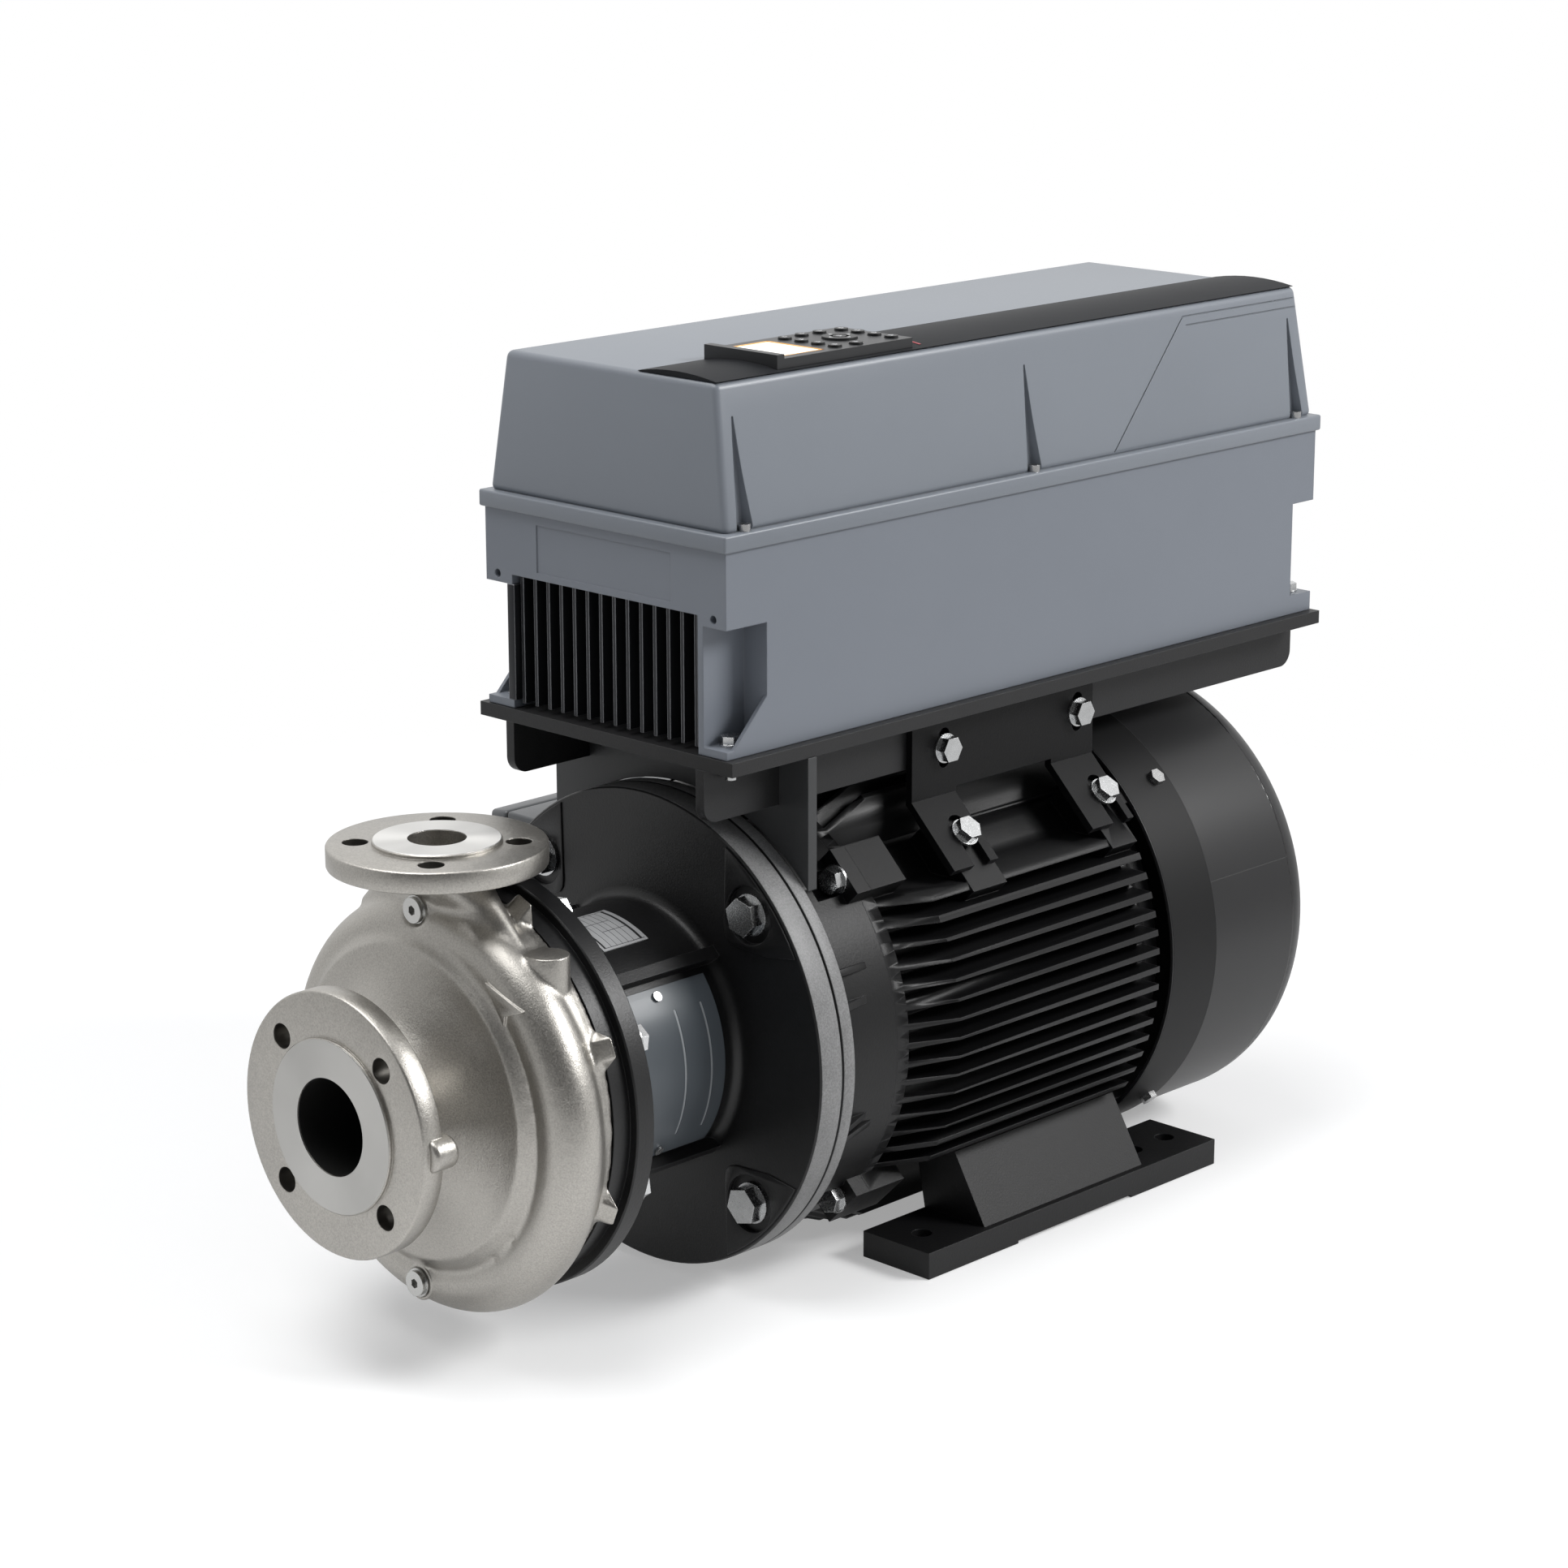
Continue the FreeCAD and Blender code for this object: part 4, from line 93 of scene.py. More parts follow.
def finish_of(name, dark, light, roughness, rough_swing, grain_mm, bump_mm, patch_mm=60.0, metallic=0.0,
              specular=0.5, edge=None, edge_mm=0.8, wave_mm=0.0, speckle=0.0, turned=None, glow=0.0):
    """A surface with two tones in large patches, a fine grain in its tone, gloss and relief, and
    rounded edges, which take an edge tone where one is given, partly rubbed wear and partly a painted
    highlight. Turned names the axis that a lathe cut it round."""
    made = bpy.data.materials.new(name)
    made.use_nodes = True
    tree = made.node_tree
    shader = tree.nodes["Principled BSDF"]
    place = node(tree, "ShaderNodeTexCoord", {}).outputs["Object"]
    patches = node(tree, "ShaderNodeTexNoise",
                   {"Scale": 1 / (patch_mm * MM), "Detail": 3.0, "Roughness": 0.55}, {"Vector": place})
    grain = node(tree, "ShaderNodeTexNoise",
                 {"Scale": 1 / (grain_mm * MM), "Detail": 2.0, "Roughness": 0.6}, {"Vector": place}).outputs["Fac"]
    colour = node(tree, "ShaderNodeMix", {"data_type": "RGBA", 6: linear(dark), 7: linear(light)},
                  {"Factor": patches.outputs["Fac"]}).outputs[2]
    if speckle:
        shade = node(tree, "ShaderNodeMapRange",
                     {"From Min": 0.3, "From Max": 0.7, "To Min": 1 - speckle, "To Max": 1 + speckle},
                     {"Value": grain})
        colour = node(tree, "ShaderNodeVectorMath", {"operation": "SCALE"},
                      {0: colour, "Scale": shade.outputs["Result"]}).outputs[0]
    rounded = node(tree, "ShaderNodeBevel", {"samples": 4, "Radius": edge_mm * MM}).outputs["Normal"]
    # The edge tone: partly rubbed wear, partly a painted highlight along rounded edges.
    if edge:
        flat = node(tree, "ShaderNodeNewGeometry", {}).outputs["Normal"]
        along = node(tree, "ShaderNodeVectorMath", {"operation": "DOT_PRODUCT"}, {0: rounded, 1: flat})
        wear_and_highlight = node(tree, "ShaderNodeMapRange",
                    {"From Min": EDGE_STARTS, "From Max": EDGE_FULL, "To Min": 0.0, "To Max": 1.0},
                    {"Value": along.outputs["Value"]})
        colour = node(tree, "ShaderNodeMix", {"data_type": "RGBA", 7: linear(edge)},
                      {"Factor": wear_and_highlight.outputs["Result"], 6: colour}).outputs[2]
    tree.links.new(colour, shader.inputs["Base Color"])
    shader.inputs["Metallic"].default_value = metallic
    if not metallic:
        shader.inputs["IOR"].default_value = PLASTIC_IOR
        shader.inputs["Specular IOR Level"].default_value = specular
    gloss = node(tree, "ShaderNodeMapRange",
                 {"To Min": roughness - rough_swing, "To Max": roughness + rough_swing}, {"Value": grain})
    tree.links.new(gloss.outputs["Result"], shader.inputs["Roughness"])
    if wave_mm:
        waves = node(tree, "ShaderNodeTexNoise",
                     {"Scale": 1 / (wave_mm * MM), "Detail": 1.0}, {"Vector": place})
        rounded = node(tree, "ShaderNodeBump", {"Strength": 1.0, "Distance": wave_mm * WAVE_DEPTH * MM},
                       {"Height": waves.outputs["Fac"], "Normal": rounded}).outputs["Normal"]
    relief = node(tree, "ShaderNodeBump", {"Strength": 1.0, "Distance": bump_mm * MM},
                  {"Height": grain, "Normal": rounded})
    tree.links.new(relief.outputs["Normal"], shader.inputs["Normal"])
    if turned:
        shader.inputs["Anisotropic"].default_value = 0.8
        way = node(tree, "ShaderNodeTangent", {"direction_type": "RADIAL", "axis": turned})
        tree.links.new(way.outputs["Tangent"], shader.inputs["Tangent"])
    if glow:
        tree.links.new(colour, shader.inputs["Emission Color"])
        shader.inputs["Emission Strength"].default_value = glow
    return made


# Lathe cuts, brushing and moulded grain are finer than a picture shows, about 0.05 to 0.3 mm, so
# their grain is drawn at 0.5 to 1 mm. Sand-cast grain is 1 to 2 mm, as it is on the real thing.
FINISHES = {
    # Stainless casting, blasted with beads: satin grey, a shade warm, with a fine sparkle. The
    # sparkle is drawn coarser than the beads leave it, so that it shows.
    "cast_stainless": dict(
        dark="#A6A39E", light="#B4B1AB", roughness=0.40, rough_swing=0.10, grain_mm=1.2, bump_mm=0.13,
        patch_mm=80, metallic=1.0, speckle=0.16, wave_mm=9),
    # Turned sealing faces: fine circular cuts, so that a lamp shows in them as bright wedges.
    "turned_across_shaft": dict(
        dark="#ADACA9", light="#B9B8B5", roughness=0.30, rough_swing=0.04, grain_mm=0.6, bump_mm=0.004,
        metallic=1.0, edge_mm=0.3, turned="X"),
    # The upright face: the same finish in a lighter tone, painted light for its facing up.
    "turned_upright_painted_light": dict(
        dark="#D6D5D2", light="#E0DFDC", roughness=0.30, rough_swing=0.04, grain_mm=0.6, bump_mm=0.004,
        metallic=1.0, edge_mm=0.3, turned="Z"),
    # The wetted bore: oxide and old water leave cast steel dark where no blasting reaches.
    # The suction bore: a dark lining that paints the shade deep in the bore.
    "bore_painted_shade": dict(
        dark="#101010", light="#171716", roughness=0.6, rough_swing=0.08, grain_mm=1.2, bump_mm=0.05,
        specular=0.2),
    # Drilled holes: their walls made dark, a painted shade.
    "hole_painted_shade": dict(
        dark="#4A4845", light="#5A5854", roughness=0.5, rough_swing=0.08, grain_mm=0.8, bump_mm=0.03,
        metallic=1.0),
    # Stainless bar, turned bright: smooth and nearly mirror-like.
    "stainless": dict(
        dark="#B8B8B6", light="#CACAC8", roughness=0.24, rough_swing=0.05, grain_mm=0.6, bump_mm=0.006,
        metallic=1.0),
    # Investment-cast stainless, dark and dull: painted shade for its place inside the casing.
    "stainless_impeller": dict(
        dark="#3A3936", light="#474643", roughness=0.5, rough_swing=0.06, grain_mm=0.8, bump_mm=0.02,
        metallic=1.0),
    # Ground stainless shaft: bright, with soft-edged reflections.
    "stainless_shaft": dict(
        dark="#B4B4B4", light="#C4C4C4", roughness=0.25, rough_swing=0.05, grain_mm=0.5, bump_mm=0.005,
        metallic=1.0),
    # Drawn key steel: plain grey with a slight sheen.
    "key_steel": dict(
        dark="#8E8E90", light="#A2A2A4", roughness=0.35, rough_swing=0.06, grain_mm=0.6, bump_mm=0.01,
        metallic=1.0),
    # Stainless casting with its faces machined: satin and a shade warm.
    "cover_stainless": dict(
        dark="#A9A69F", light="#BAB7B0", roughness=0.38, rough_swing=0.06, grain_mm=0.8, bump_mm=0.02,
        metallic=1.0),
    # Nitrile rubber, moulded: black and dull, with a bloom that is hardly seen.
    "black_rubber": dict(
        dark="#101010", light="#191919", roughness=0.7, rough_swing=0.08, grain_mm=0.8, bump_mm=0.02),
    # Silicon carbide, lapped: nearly black, with a hard clean gloss.
    "seal_ceramic": dict(
        dark="#2E2F33", light="#3B3C40", roughness=0.2, rough_swing=0.04, grain_mm=0.5, bump_mm=0.003),
    # Pressed stainless sheet of the seal: bright and even.
    "seal_steel": dict(
        dark="#AEAEAE", light="#BEBEBE", roughness=0.25, rough_swing=0.05, grain_mm=0.5, bump_mm=0.004,
        metallic=1.0),
    # Zinc plating on steel bolts: bright with a soft, slightly patchy haze.
    "zinc_bolts": dict(
        dark="#B9BABA", light="#D4D5D6", roughness=0.26, rough_swing=0.07, grain_mm=1.4, bump_mm=0.012,
        patch_mm=6, metallic=1.0, edge_mm=0.5),
    # Small plated screws: as the bolts, a shade darker.
    "screw_steel": dict(
        dark="#A6A6A6", light="#BEBEBE", roughness=0.28, rough_swing=0.07, grain_mm=0.8, bump_mm=0.008,
        patch_mm=4, metallic=1.0, edge_mm=0.3),
    # Cast iron under black enamel: satin, with the sand's texture through the paint. The shield
    # and the frame carry a deeper, flatter black, and the frame's fin crests get a grey edge tone as a painted
    # highlight.
    "black_cast_iron": dict(
        dark="#0C0C0D", light="#131314", roughness=0.40, rough_swing=0.07, grain_mm=1.8, bump_mm=0.11,
        patch_mm=45, specular=0.42, edge="#242526"),
    "black_shield": dict(
        dark="#080809", light="#0D0D0E", roughness=0.42, rough_swing=0.07, grain_mm=1.8, bump_mm=0.09,
        patch_mm=45, specular=0.28, edge="#242526"),
    "black_frame": dict(
        dark="#0A0A0B", light="#101011", roughness=0.40, rough_swing=0.07, grain_mm=1.6, bump_mm=0.07,
        patch_mm=45, specular=0.26, edge="#2A2A2B", edge_mm=1.0),
    "black_feet": dict(
        dark="#0E0E0F", light="#151516", roughness=0.46, rough_swing=0.07, grain_mm=1.5, bump_mm=0.10,
        specular=0.34, edge="#2A2A2B"),
    # The flange rims: mid grey, a painted highlight of the side lamp on them, freckled in their grain.
    "rim_painted_highlight": dict(
        dark="#6A6A6A", light="#828282", roughness=0.48, rough_swing=0.08, grain_mm=1.3, bump_mm=0.12,
        patch_mm=25, speckle=0.25),
    # Blue-grey powder coat on sheet steel: even and softly glossy.
    "guard_steel": dict(
        dark="#474C51", light="#50565B", roughness=0.34, rough_swing=0.05, grain_mm=0.9, bump_mm=0.01,
        patch_mm=50, edge_mm=0.4),
    # Pale strips behind the guards' slots, which paint the light seen in them: pale grey and satin.
    "slot_painted_light": dict(
        dark="#85888B", light="#969A9D", roughness=0.4, rough_swing=0.04, grain_mm=0.8, bump_mm=0.01),
    # Bare aluminium plate, brushed: pale, with a soft haze in place of reflections.
    "plate_metal": dict(
        dark="#A0A1A2", light="#AFB0B1", roughness=0.32, rough_swing=0.08, grain_mm=0.7, bump_mm=0.006,
        patch_mm=10, metallic=0.25, edge_mm=0.2),
    # Stacked electrical sheet: dark grey metal with a dull oxide.
    "core_steel": dict(
        dark="#55565A", light="#66676B", roughness=0.45, rough_swing=0.08, grain_mm=0.8, bump_mm=0.02,
        metallic=1.0),
    # Enamelled copper wire: brown-red, with the rounds of the wires as relief.
    "copper_winding": dict(
        dark="#8A4A26", light="#A85F34", roughness=0.35, rough_swing=0.08, grain_mm=1.5, bump_mm=0.15,
        metallic=1.0),
    # Ground carbon steel shaft: a greyer bright than stainless.
    "shaft_steel": dict(
        dark="#9A9A9C", light="#ACACAE", roughness=0.25, rough_swing=0.05, grain_mm=0.5, bump_mm=0.004,
        metallic=1.0),
    # Bearing steel, ground and polished: nearly a mirror.
    "bearing_steel": dict(
        dark="#BDBDC0", light="#CDCDD0", roughness=0.14, rough_swing=0.03, grain_mm=0.5, bump_mm=0.002,
        metallic=1.0),
    # Moulded polypropylene fan: dark and matt.
    "fan_plastic": dict(
        dark="#18191A", light="#212223", roughness=0.5, rough_swing=0.06, grain_mm=0.9, bump_mm=0.02),
    # Deep-drawn sheet steel in satin black: smooth, so it takes long soft highlights. Its collar
    # is a duller black, and its drawn shoulder is gloss, which mirrors the room as a bright rim.
    "black_sheet": dict(
        dark="#1B1B1C", light="#212122", roughness=0.36, rough_swing=0.03, grain_mm=1.0, bump_mm=0.012,
        patch_mm=80, specular=0.36, edge="#2A2A2B"),
    "dull_sheet": dict(
        dark="#0B0B0C", light="#0F0F10", roughness=0.5, rough_swing=0.03, grain_mm=1.0, bump_mm=0.012,
        specular=0.22),
    "gloss_black_sheet": dict(
        dark="#101011", light="#151516", roughness=0.13, rough_swing=0.03, grain_mm=0.9, bump_mm=0.004,
        specular=0.6),
    # Thin black satin paint on the cast terminal box, which lets it look dark grey.
    "black_box": dict(
        dark="#4C4E50", light="#56585A", roughness=0.36, rough_swing=0.05, grain_mm=1.2, bump_mm=0.03,
        edge="#5E6062"),
    # Textured black powder coat on the steel that carries the drive. It is thinner on the cross
    # plate, which looks dark grey, and the brackets under it are flat black.
    "black_deck": dict(
        dark="#1A1A1B", light="#212122", roughness=0.48, rough_swing=0.08, grain_mm=1.3, bump_mm=0.12,
        specular=0.36, edge="#2E2F30"),
    "thin_black": dict(
        dark="#333435", light="#3C3D3E", roughness=0.44, rough_swing=0.07, grain_mm=1.3, bump_mm=0.08,
        specular=0.4, edge="#3A3B3C"),
    "black_bracket": dict(
        dark="#0A0A0B", light="#0E0E0F", roughness=0.46, rough_swing=0.08, grain_mm=1.3, bump_mm=0.11,
        specular=0.18, edge="#2E2F30"),
    # Die-cast aluminium under grey-blue satin paint: even, with soft rounded highlights.
    "drive_grey": dict(
        dark="#6E737B", light="#737880", roughness=0.40, rough_swing=0.03, grain_mm=0.9, bump_mm=0.010,
        patch_mm=120, edge_mm=1.2),
    # Extruded aluminium fins, black anodised: dark, with pale edges that are partly rubbed and partly a painted
    # highlight.
    "heat_sink_aluminium": dict(
        dark="#222326", light="#2C2D30", roughness=0.38, rough_swing=0.06, grain_mm=0.8, bump_mm=0.01,
        metallic=0.6, edge="#A9ABAF", edge_mm=0.9),
    # Grey-blue polycarbonate, moulded with a fine spark-eroded grain: satin and very even.
    "lid_grey": dict(
        dark="#70757C", light="#757A81", roughness=0.38, rough_swing=0.03, grain_mm=0.9, bump_mm=0.010,
        patch_mm=120, edge_mm=0.8),
    # Black ABS trim, moulded with a matt grain: it hardly reflects.
    "strip_plastic": dict(
        dark="#232426", light="#28292B", roughness=0.45, rough_swing=0.03, grain_mm=0.7, bump_mm=0.006,
        specular=0.03),
    # Black ABS panel housing: satin.
    "panel_plastic": dict(
        dark="#1E1F21", light="#242527", roughness=0.38, rough_swing=0.04, grain_mm=0.7, bump_mm=0.006,
        edge_mm=0.4),
    # Hard key caps: a deeper black than the panel round them.
    "key_plastic": dict(
        dark="#141516", light="#1A1B1C", roughness=0.42, rough_swing=0.04, grain_mm=0.7, bump_mm=0.006,
        edge_mm=0.4),
    # The lit display: a cream backlight behind glass, with an amber frame.
    "display_cream": dict(
        dark="#F6F1E4", light="#FFFBF0", roughness=0.12, rough_swing=0.02, grain_mm=0.8, bump_mm=0.001,
        glow=0.55),
    "display_amber": dict(
        dark="#C88A2C", light="#D89A38", roughness=0.3, rough_swing=0.03, grain_mm=0.7, bump_mm=0.004,
        glow=0.25),
    # Screen-printed ink, flat and matt: white on the keys, black in lines, red on the trim strip.
    "white_ink": dict(
        dark="#C9CACB", light="#D6D7D8", roughness=0.5, rough_swing=0.04, grain_mm=0.6, bump_mm=0.002),
    "black_ink": dict(
        dark="#1A1A1B", light="#222223", roughness=0.5, rough_swing=0.04, grain_mm=0.6, bump_mm=0.002),
    "red_ink": dict(
        dark="#8E1F2C", light="#9C2734", roughness=0.4, rough_swing=0.04, grain_mm=0.6, bump_mm=0.002),
}

slots_of = {part["node"]: part["material_slot"] for part in frame["record"]["subparts"]}
finishes = {name: finish_of(name, **values) for name, values in FINISHES.items()}
for name, piece in frame["nodes"].items():
    piece.data.materials.clear()
    piece.data.materials.append(finishes[slots_of[name]])
frame["nodes"]["cross_plate"].data.materials[0] = finishes["thin_black"]


def pick(*pieces):
    """Selects these pieces and no others, the first one active."""
    bpy.ops.object.select_all(action="DESELECT")
    for piece in pieces:
        piece.select_set(True)
    bpy.context.view_layer.objects.active = pieces[0]


def open_mesh(piece):
    """Takes a piece into edit mode with all of its mesh selected."""
    pick(piece)
    bpy.ops.object.mode_set(mode="EDIT")
    bpy.ops.mesh.select_all(action="SELECT")


def close_mesh():
    """Leaves edit mode."""
    bpy.ops.object.mode_set(mode="OBJECT")


def settle(piece, finish, body="housing", corner=35):
    """Gives a finished piece its finish, applies its place and lets it ride on a body."""
    pick(piece)
    bpy.ops.object.transform_apply(location=True, rotation=True, scale=True)
    bpy.ops.object.shade_smooth_by_angle(angle=math.radians(corner))
    piece.data.materials.clear()
    piece.data.materials.append(finishes[finish])
    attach(piece, body)
    return piece


def cad_copy(name, label):
    """A copy of a CAD node's mesh with its loose triangles merged."""
    made = bpy.data.objects.new(label, frame["nodes"][name].data.copy())
    bpy.context.scene.collection.objects.link(made)
    open_mesh(made)
    bpy.ops.mesh.remove_doubles(threshold=0.004 * MM)
    close_mesh()
    return made


def slice_off(piece, spot, way):
    """Cuts a piece square to a way at a spot, drops what lies beyond and closes the cut."""
    open_mesh(piece)
    bpy.ops.mesh.bisect(plane_co=spot, plane_no=way, use_fill=True, clear_outer=True)
    close_mesh()


def harden(piece):
    """Applies all of a piece's modifiers in order."""
    pick(piece)
    for modifier in list(piece.modifiers):
        bpy.ops.object.modifier_apply(modifier=modifier.name)


def merge(label, *pieces):
    """Joins pieces into the first one under a new name."""
    pick(*pieces)
    if len(pieces) > 1:
        bpy.ops.object.join()
    pieces[0].name = label
    return pieces[0]


def turned(label, profile, axis, centre=(0, 0, 0), steps=96):
    """A closed ring spun from a profile of (along, out) points round an axis."""
    out = UP if axis == SHAFT else SHAFT
    bpy.ops.mesh.primitive_circle_add(vertices=len(profile), fill_type="NOTHING")
    made = bpy.context.object
    made.name = label
    middle = Vector(centre) * MM
    for vertex, (along, away) in zip(made.data.vertices, profile):
        vertex.co = middle + axis * along * MM + out * away * MM
    open_mesh(made)
    bpy.ops.mesh.spin(steps=steps, angle=math.tau, center=middle, axis=axis)
    bpy.ops.mesh.select_all(action="SELECT")
    bpy.ops.mesh.remove_doubles(threshold=0.01 * MM)
    bpy.ops.mesh.normals_make_consistent(inside=False)
    close_mesh()
    return made


def prism(label, corners, lift):
    """A solid raised from a flat outline of corners along a lift."""
    bpy.ops.mesh.primitive_circle_add(vertices=len(corners), fill_type="NGON")
    made = bpy.context.object
    made.name = label
    for vertex, spot in zip(made.data.vertices, corners):
        vertex.co = Vector(spot) * MM
    open_mesh(made)
    bpy.ops.mesh.extrude_region_move(TRANSFORM_OT_translate={"value": Vector(lift) * MM})
    bpy.ops.mesh.select_all(action="SELECT")
    bpy.ops.mesh.normals_make_consistent(inside=False)
    close_mesh()
    return made


def shaped(label, corner_of):
    """A six-sided block. A function places its corners: it is asked for each one by whether that
    corner is on the far side along x, y and z."""
    bpy.ops.mesh.primitive_cube_add(size=2)
    made = bpy.context.object
    made.name = label
    for vertex in made.data.vertices:
        vertex.co = Vector(corner_of(*(c > 0 for c in vertex.co))) * MM
    open_mesh(made)
    bpy.ops.mesh.normals_make_consistent(inside=False)
    close_mesh()
    return made


def block(label, low, high):
    """A box between two corners, as a start for cutting and bevelling."""
    return shaped(label, lambda *far: [b if f else a for a, b, f in zip(low, high, far)])


def round_the_shaft(x, out, side, angle):
    """A point at a radius and angle round the shaft, from +Z towards -Y, and moved sideways."""
    lean = math.radians(angle)
    return (x, -out * math.sin(lean) + side * math.cos(lean), out * math.cos(lean) + side * math.sin(lean))


def rod(label, radius, length, start, axis, steps=64):
    """A round bar from a start point along an axis."""
    bpy.ops.mesh.primitive_cylinder_add(vertices=steps, radius=radius * MM, depth=length * MM)
    made = bpy.context.object
    made.name = label
    turn = axis.to_track_quat("Z", "Y")
    for vertex in made.data.vertices:
        vertex.co = turn @ (vertex.co + UP * length * MM / 2) + Vector(start) * MM
    return made


def round_off(piece, width, steps=3, angle=30):
    """Bevels every edge sharper than an angle."""
    bevel = piece.modifiers.new("round_off", "BEVEL")
    bevel.width = width * MM
    bevel.segments = steps
    bevel.limit_method = "ANGLE"
    bevel.angle_limit = math.radians(angle)
    harden(piece)
    return piece


def carve(piece, cutters):
    """Cuts the cutters out of a piece and removes them."""
    for cutter in cutters:
        difference = piece.modifiers.new("carve", "BOOLEAN")
        difference.operation = "DIFFERENCE"
        difference.solver = "EXACT"
        difference.object = cutter
        harden(piece)
        bpy.data.objects.remove(cutter)
    return piece


def sector(label, profile, low, high):
    """The part of a turned ring between two angles round the shaft, from +Z towards -Y."""
    made = turned(label, profile, SHAFT, steps=144)
    for angle, side in ((low, 1), (high, -1)):
        lean = math.radians(angle)
        slice_off(made, (0, 0, 0), Vector((0, math.cos(lean), math.sin(lean))) * side)
    return made


# The casing. Its cast body is skinned from the solid, so that every corner where neck and volute
# meet gets the round of a casting. Flanges and bosses are then set on as sharp as they are turned.
SKIN_MM, SKIN_PASSES, SKIN_LAP = 2.3, 4, 0.7
SUCTION_BACK, SUCTION_RADIUS, SUCTION_SEAT, SUCTION_BORE, SUCTION_BOLTS = 20.2, 92.5, 61, 34, 72.5
OUTLET_X, OUTLET_BACK, OUTLET_FACE = 100, 161.8, 180
OUTLET_RADIUS, OUTLET_SEAT, OUTLET_BORE, OUTLET_BOLTS = 75, 44, 20, 55
SEAT_RISE = 3
SKIM = 0.4    # the top of a raised face, which is a turned ring of its own
QUARTERS = (45, 135, 225, 315)
BOLT_HOLE = 9
# The dark sleeve in a bolt hole is painted shade.
WALL_OUT, WALL_IN, WALL_SHORT = 8.98, 8.7, 0.4    # the dark sleeve in a bolt hole
RIM_BOSS_ANGLES = (22.5, 67.5, 112.5, 247.5, 292.5, 337.5)


def suction_bolt(x, angle):
    """A point on the axis of a bolt hole of the suction flange."""
    return round_the_shaft(x, SUCTION_BOLTS, 0, angle)


def outlet_bolt(z, angle):
    """A point on the axis of a bolt hole of the outlet flange."""
    lean = math.radians(angle)
    return (OUTLET_X + OUTLET_BOLTS * math.cos(lean), OUTLET_BOLTS * math.sin(lean), z)


def cast_body():
    """The rounded skin of the casing's solid, cut off inside both flanges."""
    skin = cad_copy("pump_casing", "cast_casing")
    remesh = skin.modifiers.new("skin", "REMESH")
    remesh.mode = "VOXEL"
    remesh.voxel_size = SKIN_MM * MM
    rounding = skin.modifiers.new("cast_rounds", "SMOOTH")
    rounding.factor = 0.5
    rounding.iterations = SKIN_PASSES
    harden(skin)
    slice_off(skin, ((SUCTION_BACK - SKIN_LAP) * MM, 0, 0), -SHAFT)
    slice_off(skin, (0, 0, (OUTLET_BACK + SKIN_LAP) * MM), UP)
    return skin


def pipe_flange(label, face, back, radius, seat, bore, axis, centre=(0, 0, 0)):
    """A flange spun from its face to its back, with a raised joint face and broken edges."""
    way = math.copysign(1, back - face)
    rim = face + SEAT_RISE * way
    return turned(label, [
        (face + SKIM * way, bore), (face + SKIM * way, seat - 0.6), (face + way, seat), (rim, seat),
        (rim, radius - 1.6), (rim + 0.4 * way, radius - 0.6), (rim + 1.4 * way, radius),
        (back - 1.6 * way, radius), (back - 0.5 * way, radius - 0.5), (back, radius - 1.6), (back, bore)],
        axis, centre)


def suction_flange():
    """The front flange with its bolt holes and the lump on its rim."""
    flange = pipe_flange("suction_flange", 0, SUCTION_BACK, SUCTION_RADIUS, SUCTION_SEAT, SUCTION_BORE, SHAFT)
    carve(flange, [rod("hole", BOLT_HOLE, 30, suction_bolt(-5, angle), SHAFT) for angle in QUARTERS])
    lug = round_off(rod("rim_lug", 11.5, 20, (7.6, -89, 0), SHAFT), 3.5, 4, 50)
    return merge("suction_flange", flange, lug)


def outlet_flange():
    """The upper flange with its bolt holes."""
    flange = pipe_flange("outlet_flange", OUTLET_FACE, OUTLET_BACK, OUTLET_RADIUS, OUTLET_SEAT, OUTLET_BORE, UP,
                         (OUTLET_X, 0, 0))
    return carve(flange, [rod("hole", BOLT_HOLE, 30, outlet_bolt(157, angle), UP) for angle in QUARTERS])


def rim_boss(angle):
    """A tapered lump on the back rim, which a cover bolt screws into."""
    def corner(behind, left, high):
        side = (7 if high else 18.5) if behind else 8
        out = (156.4 if behind else 143.8) if high else 134
        return round_the_shaft(124.8 if behind else 116.2, out, side if left else -side, angle)
    return round_off(shaped("rim_boss", corner), 1.5, 3)


def tap_boss():
    """The upright boss for a gauge tap, with the pointed fairing that runs into the volute."""
    foot, height = 79, 38.2
    stem = round_off(rod("tap_boss", 14.5, height, (110.5, -97, foot), UP), 1.2, 3, 50)
    fairing = prism("fairing", [(96.5, -72.5, foot), (96, -97, foot), (110.5, -97, foot), (117.7, -84.6, foot)],
                    (0, 0, 38))
    return [stem, round_off(fairing, 1.0, 3)]


def plug_boss(front, height):
    """The round boss that a screw plug seats in."""
    back, bore = front + 26, 10.8
    return turned("plug_boss", [
        (front + 4, bore), (front + 0.1, bore), (front, 11.2), (front, 12.2), (front + 0.4, 12.9),
        (front + 1.2, 13.1), (back, 13.1), (back, bore)], SHAFT, (0, 0, height), 64)


def flow_arrow():
    """The raised half arrow on the volute that points to the outlet."""
    outline = [(72.5, -76, 101.6), (76.2, -108, 87), (72.7, -95, 82), (73.5, -93, 74), (73, -84, 88)]
    return round_off(prism("flow_arrow", outline, (9, 0, 0)), 0.5, 2)


def joint_face(label, face, skim, seat, bore, axis, finish, centre=(0, 0, 0)):
    """The turned top of a flange's raised face."""
    ring = turned(label, [(face, bore), (face, seat - 1), (face + skim, seat - 0.6), (face + skim, bore)],
                  axis, centre)
    settle(ring, finish)


def hole_wall(start, end, centre, axis):
    """The dark wall of one bolt hole: painted shade."""
    return turned("hole", [(start, WALL_OUT), (end, WALL_OUT), (end, WALL_IN), (start, WALL_IN)], axis, centre, 48)


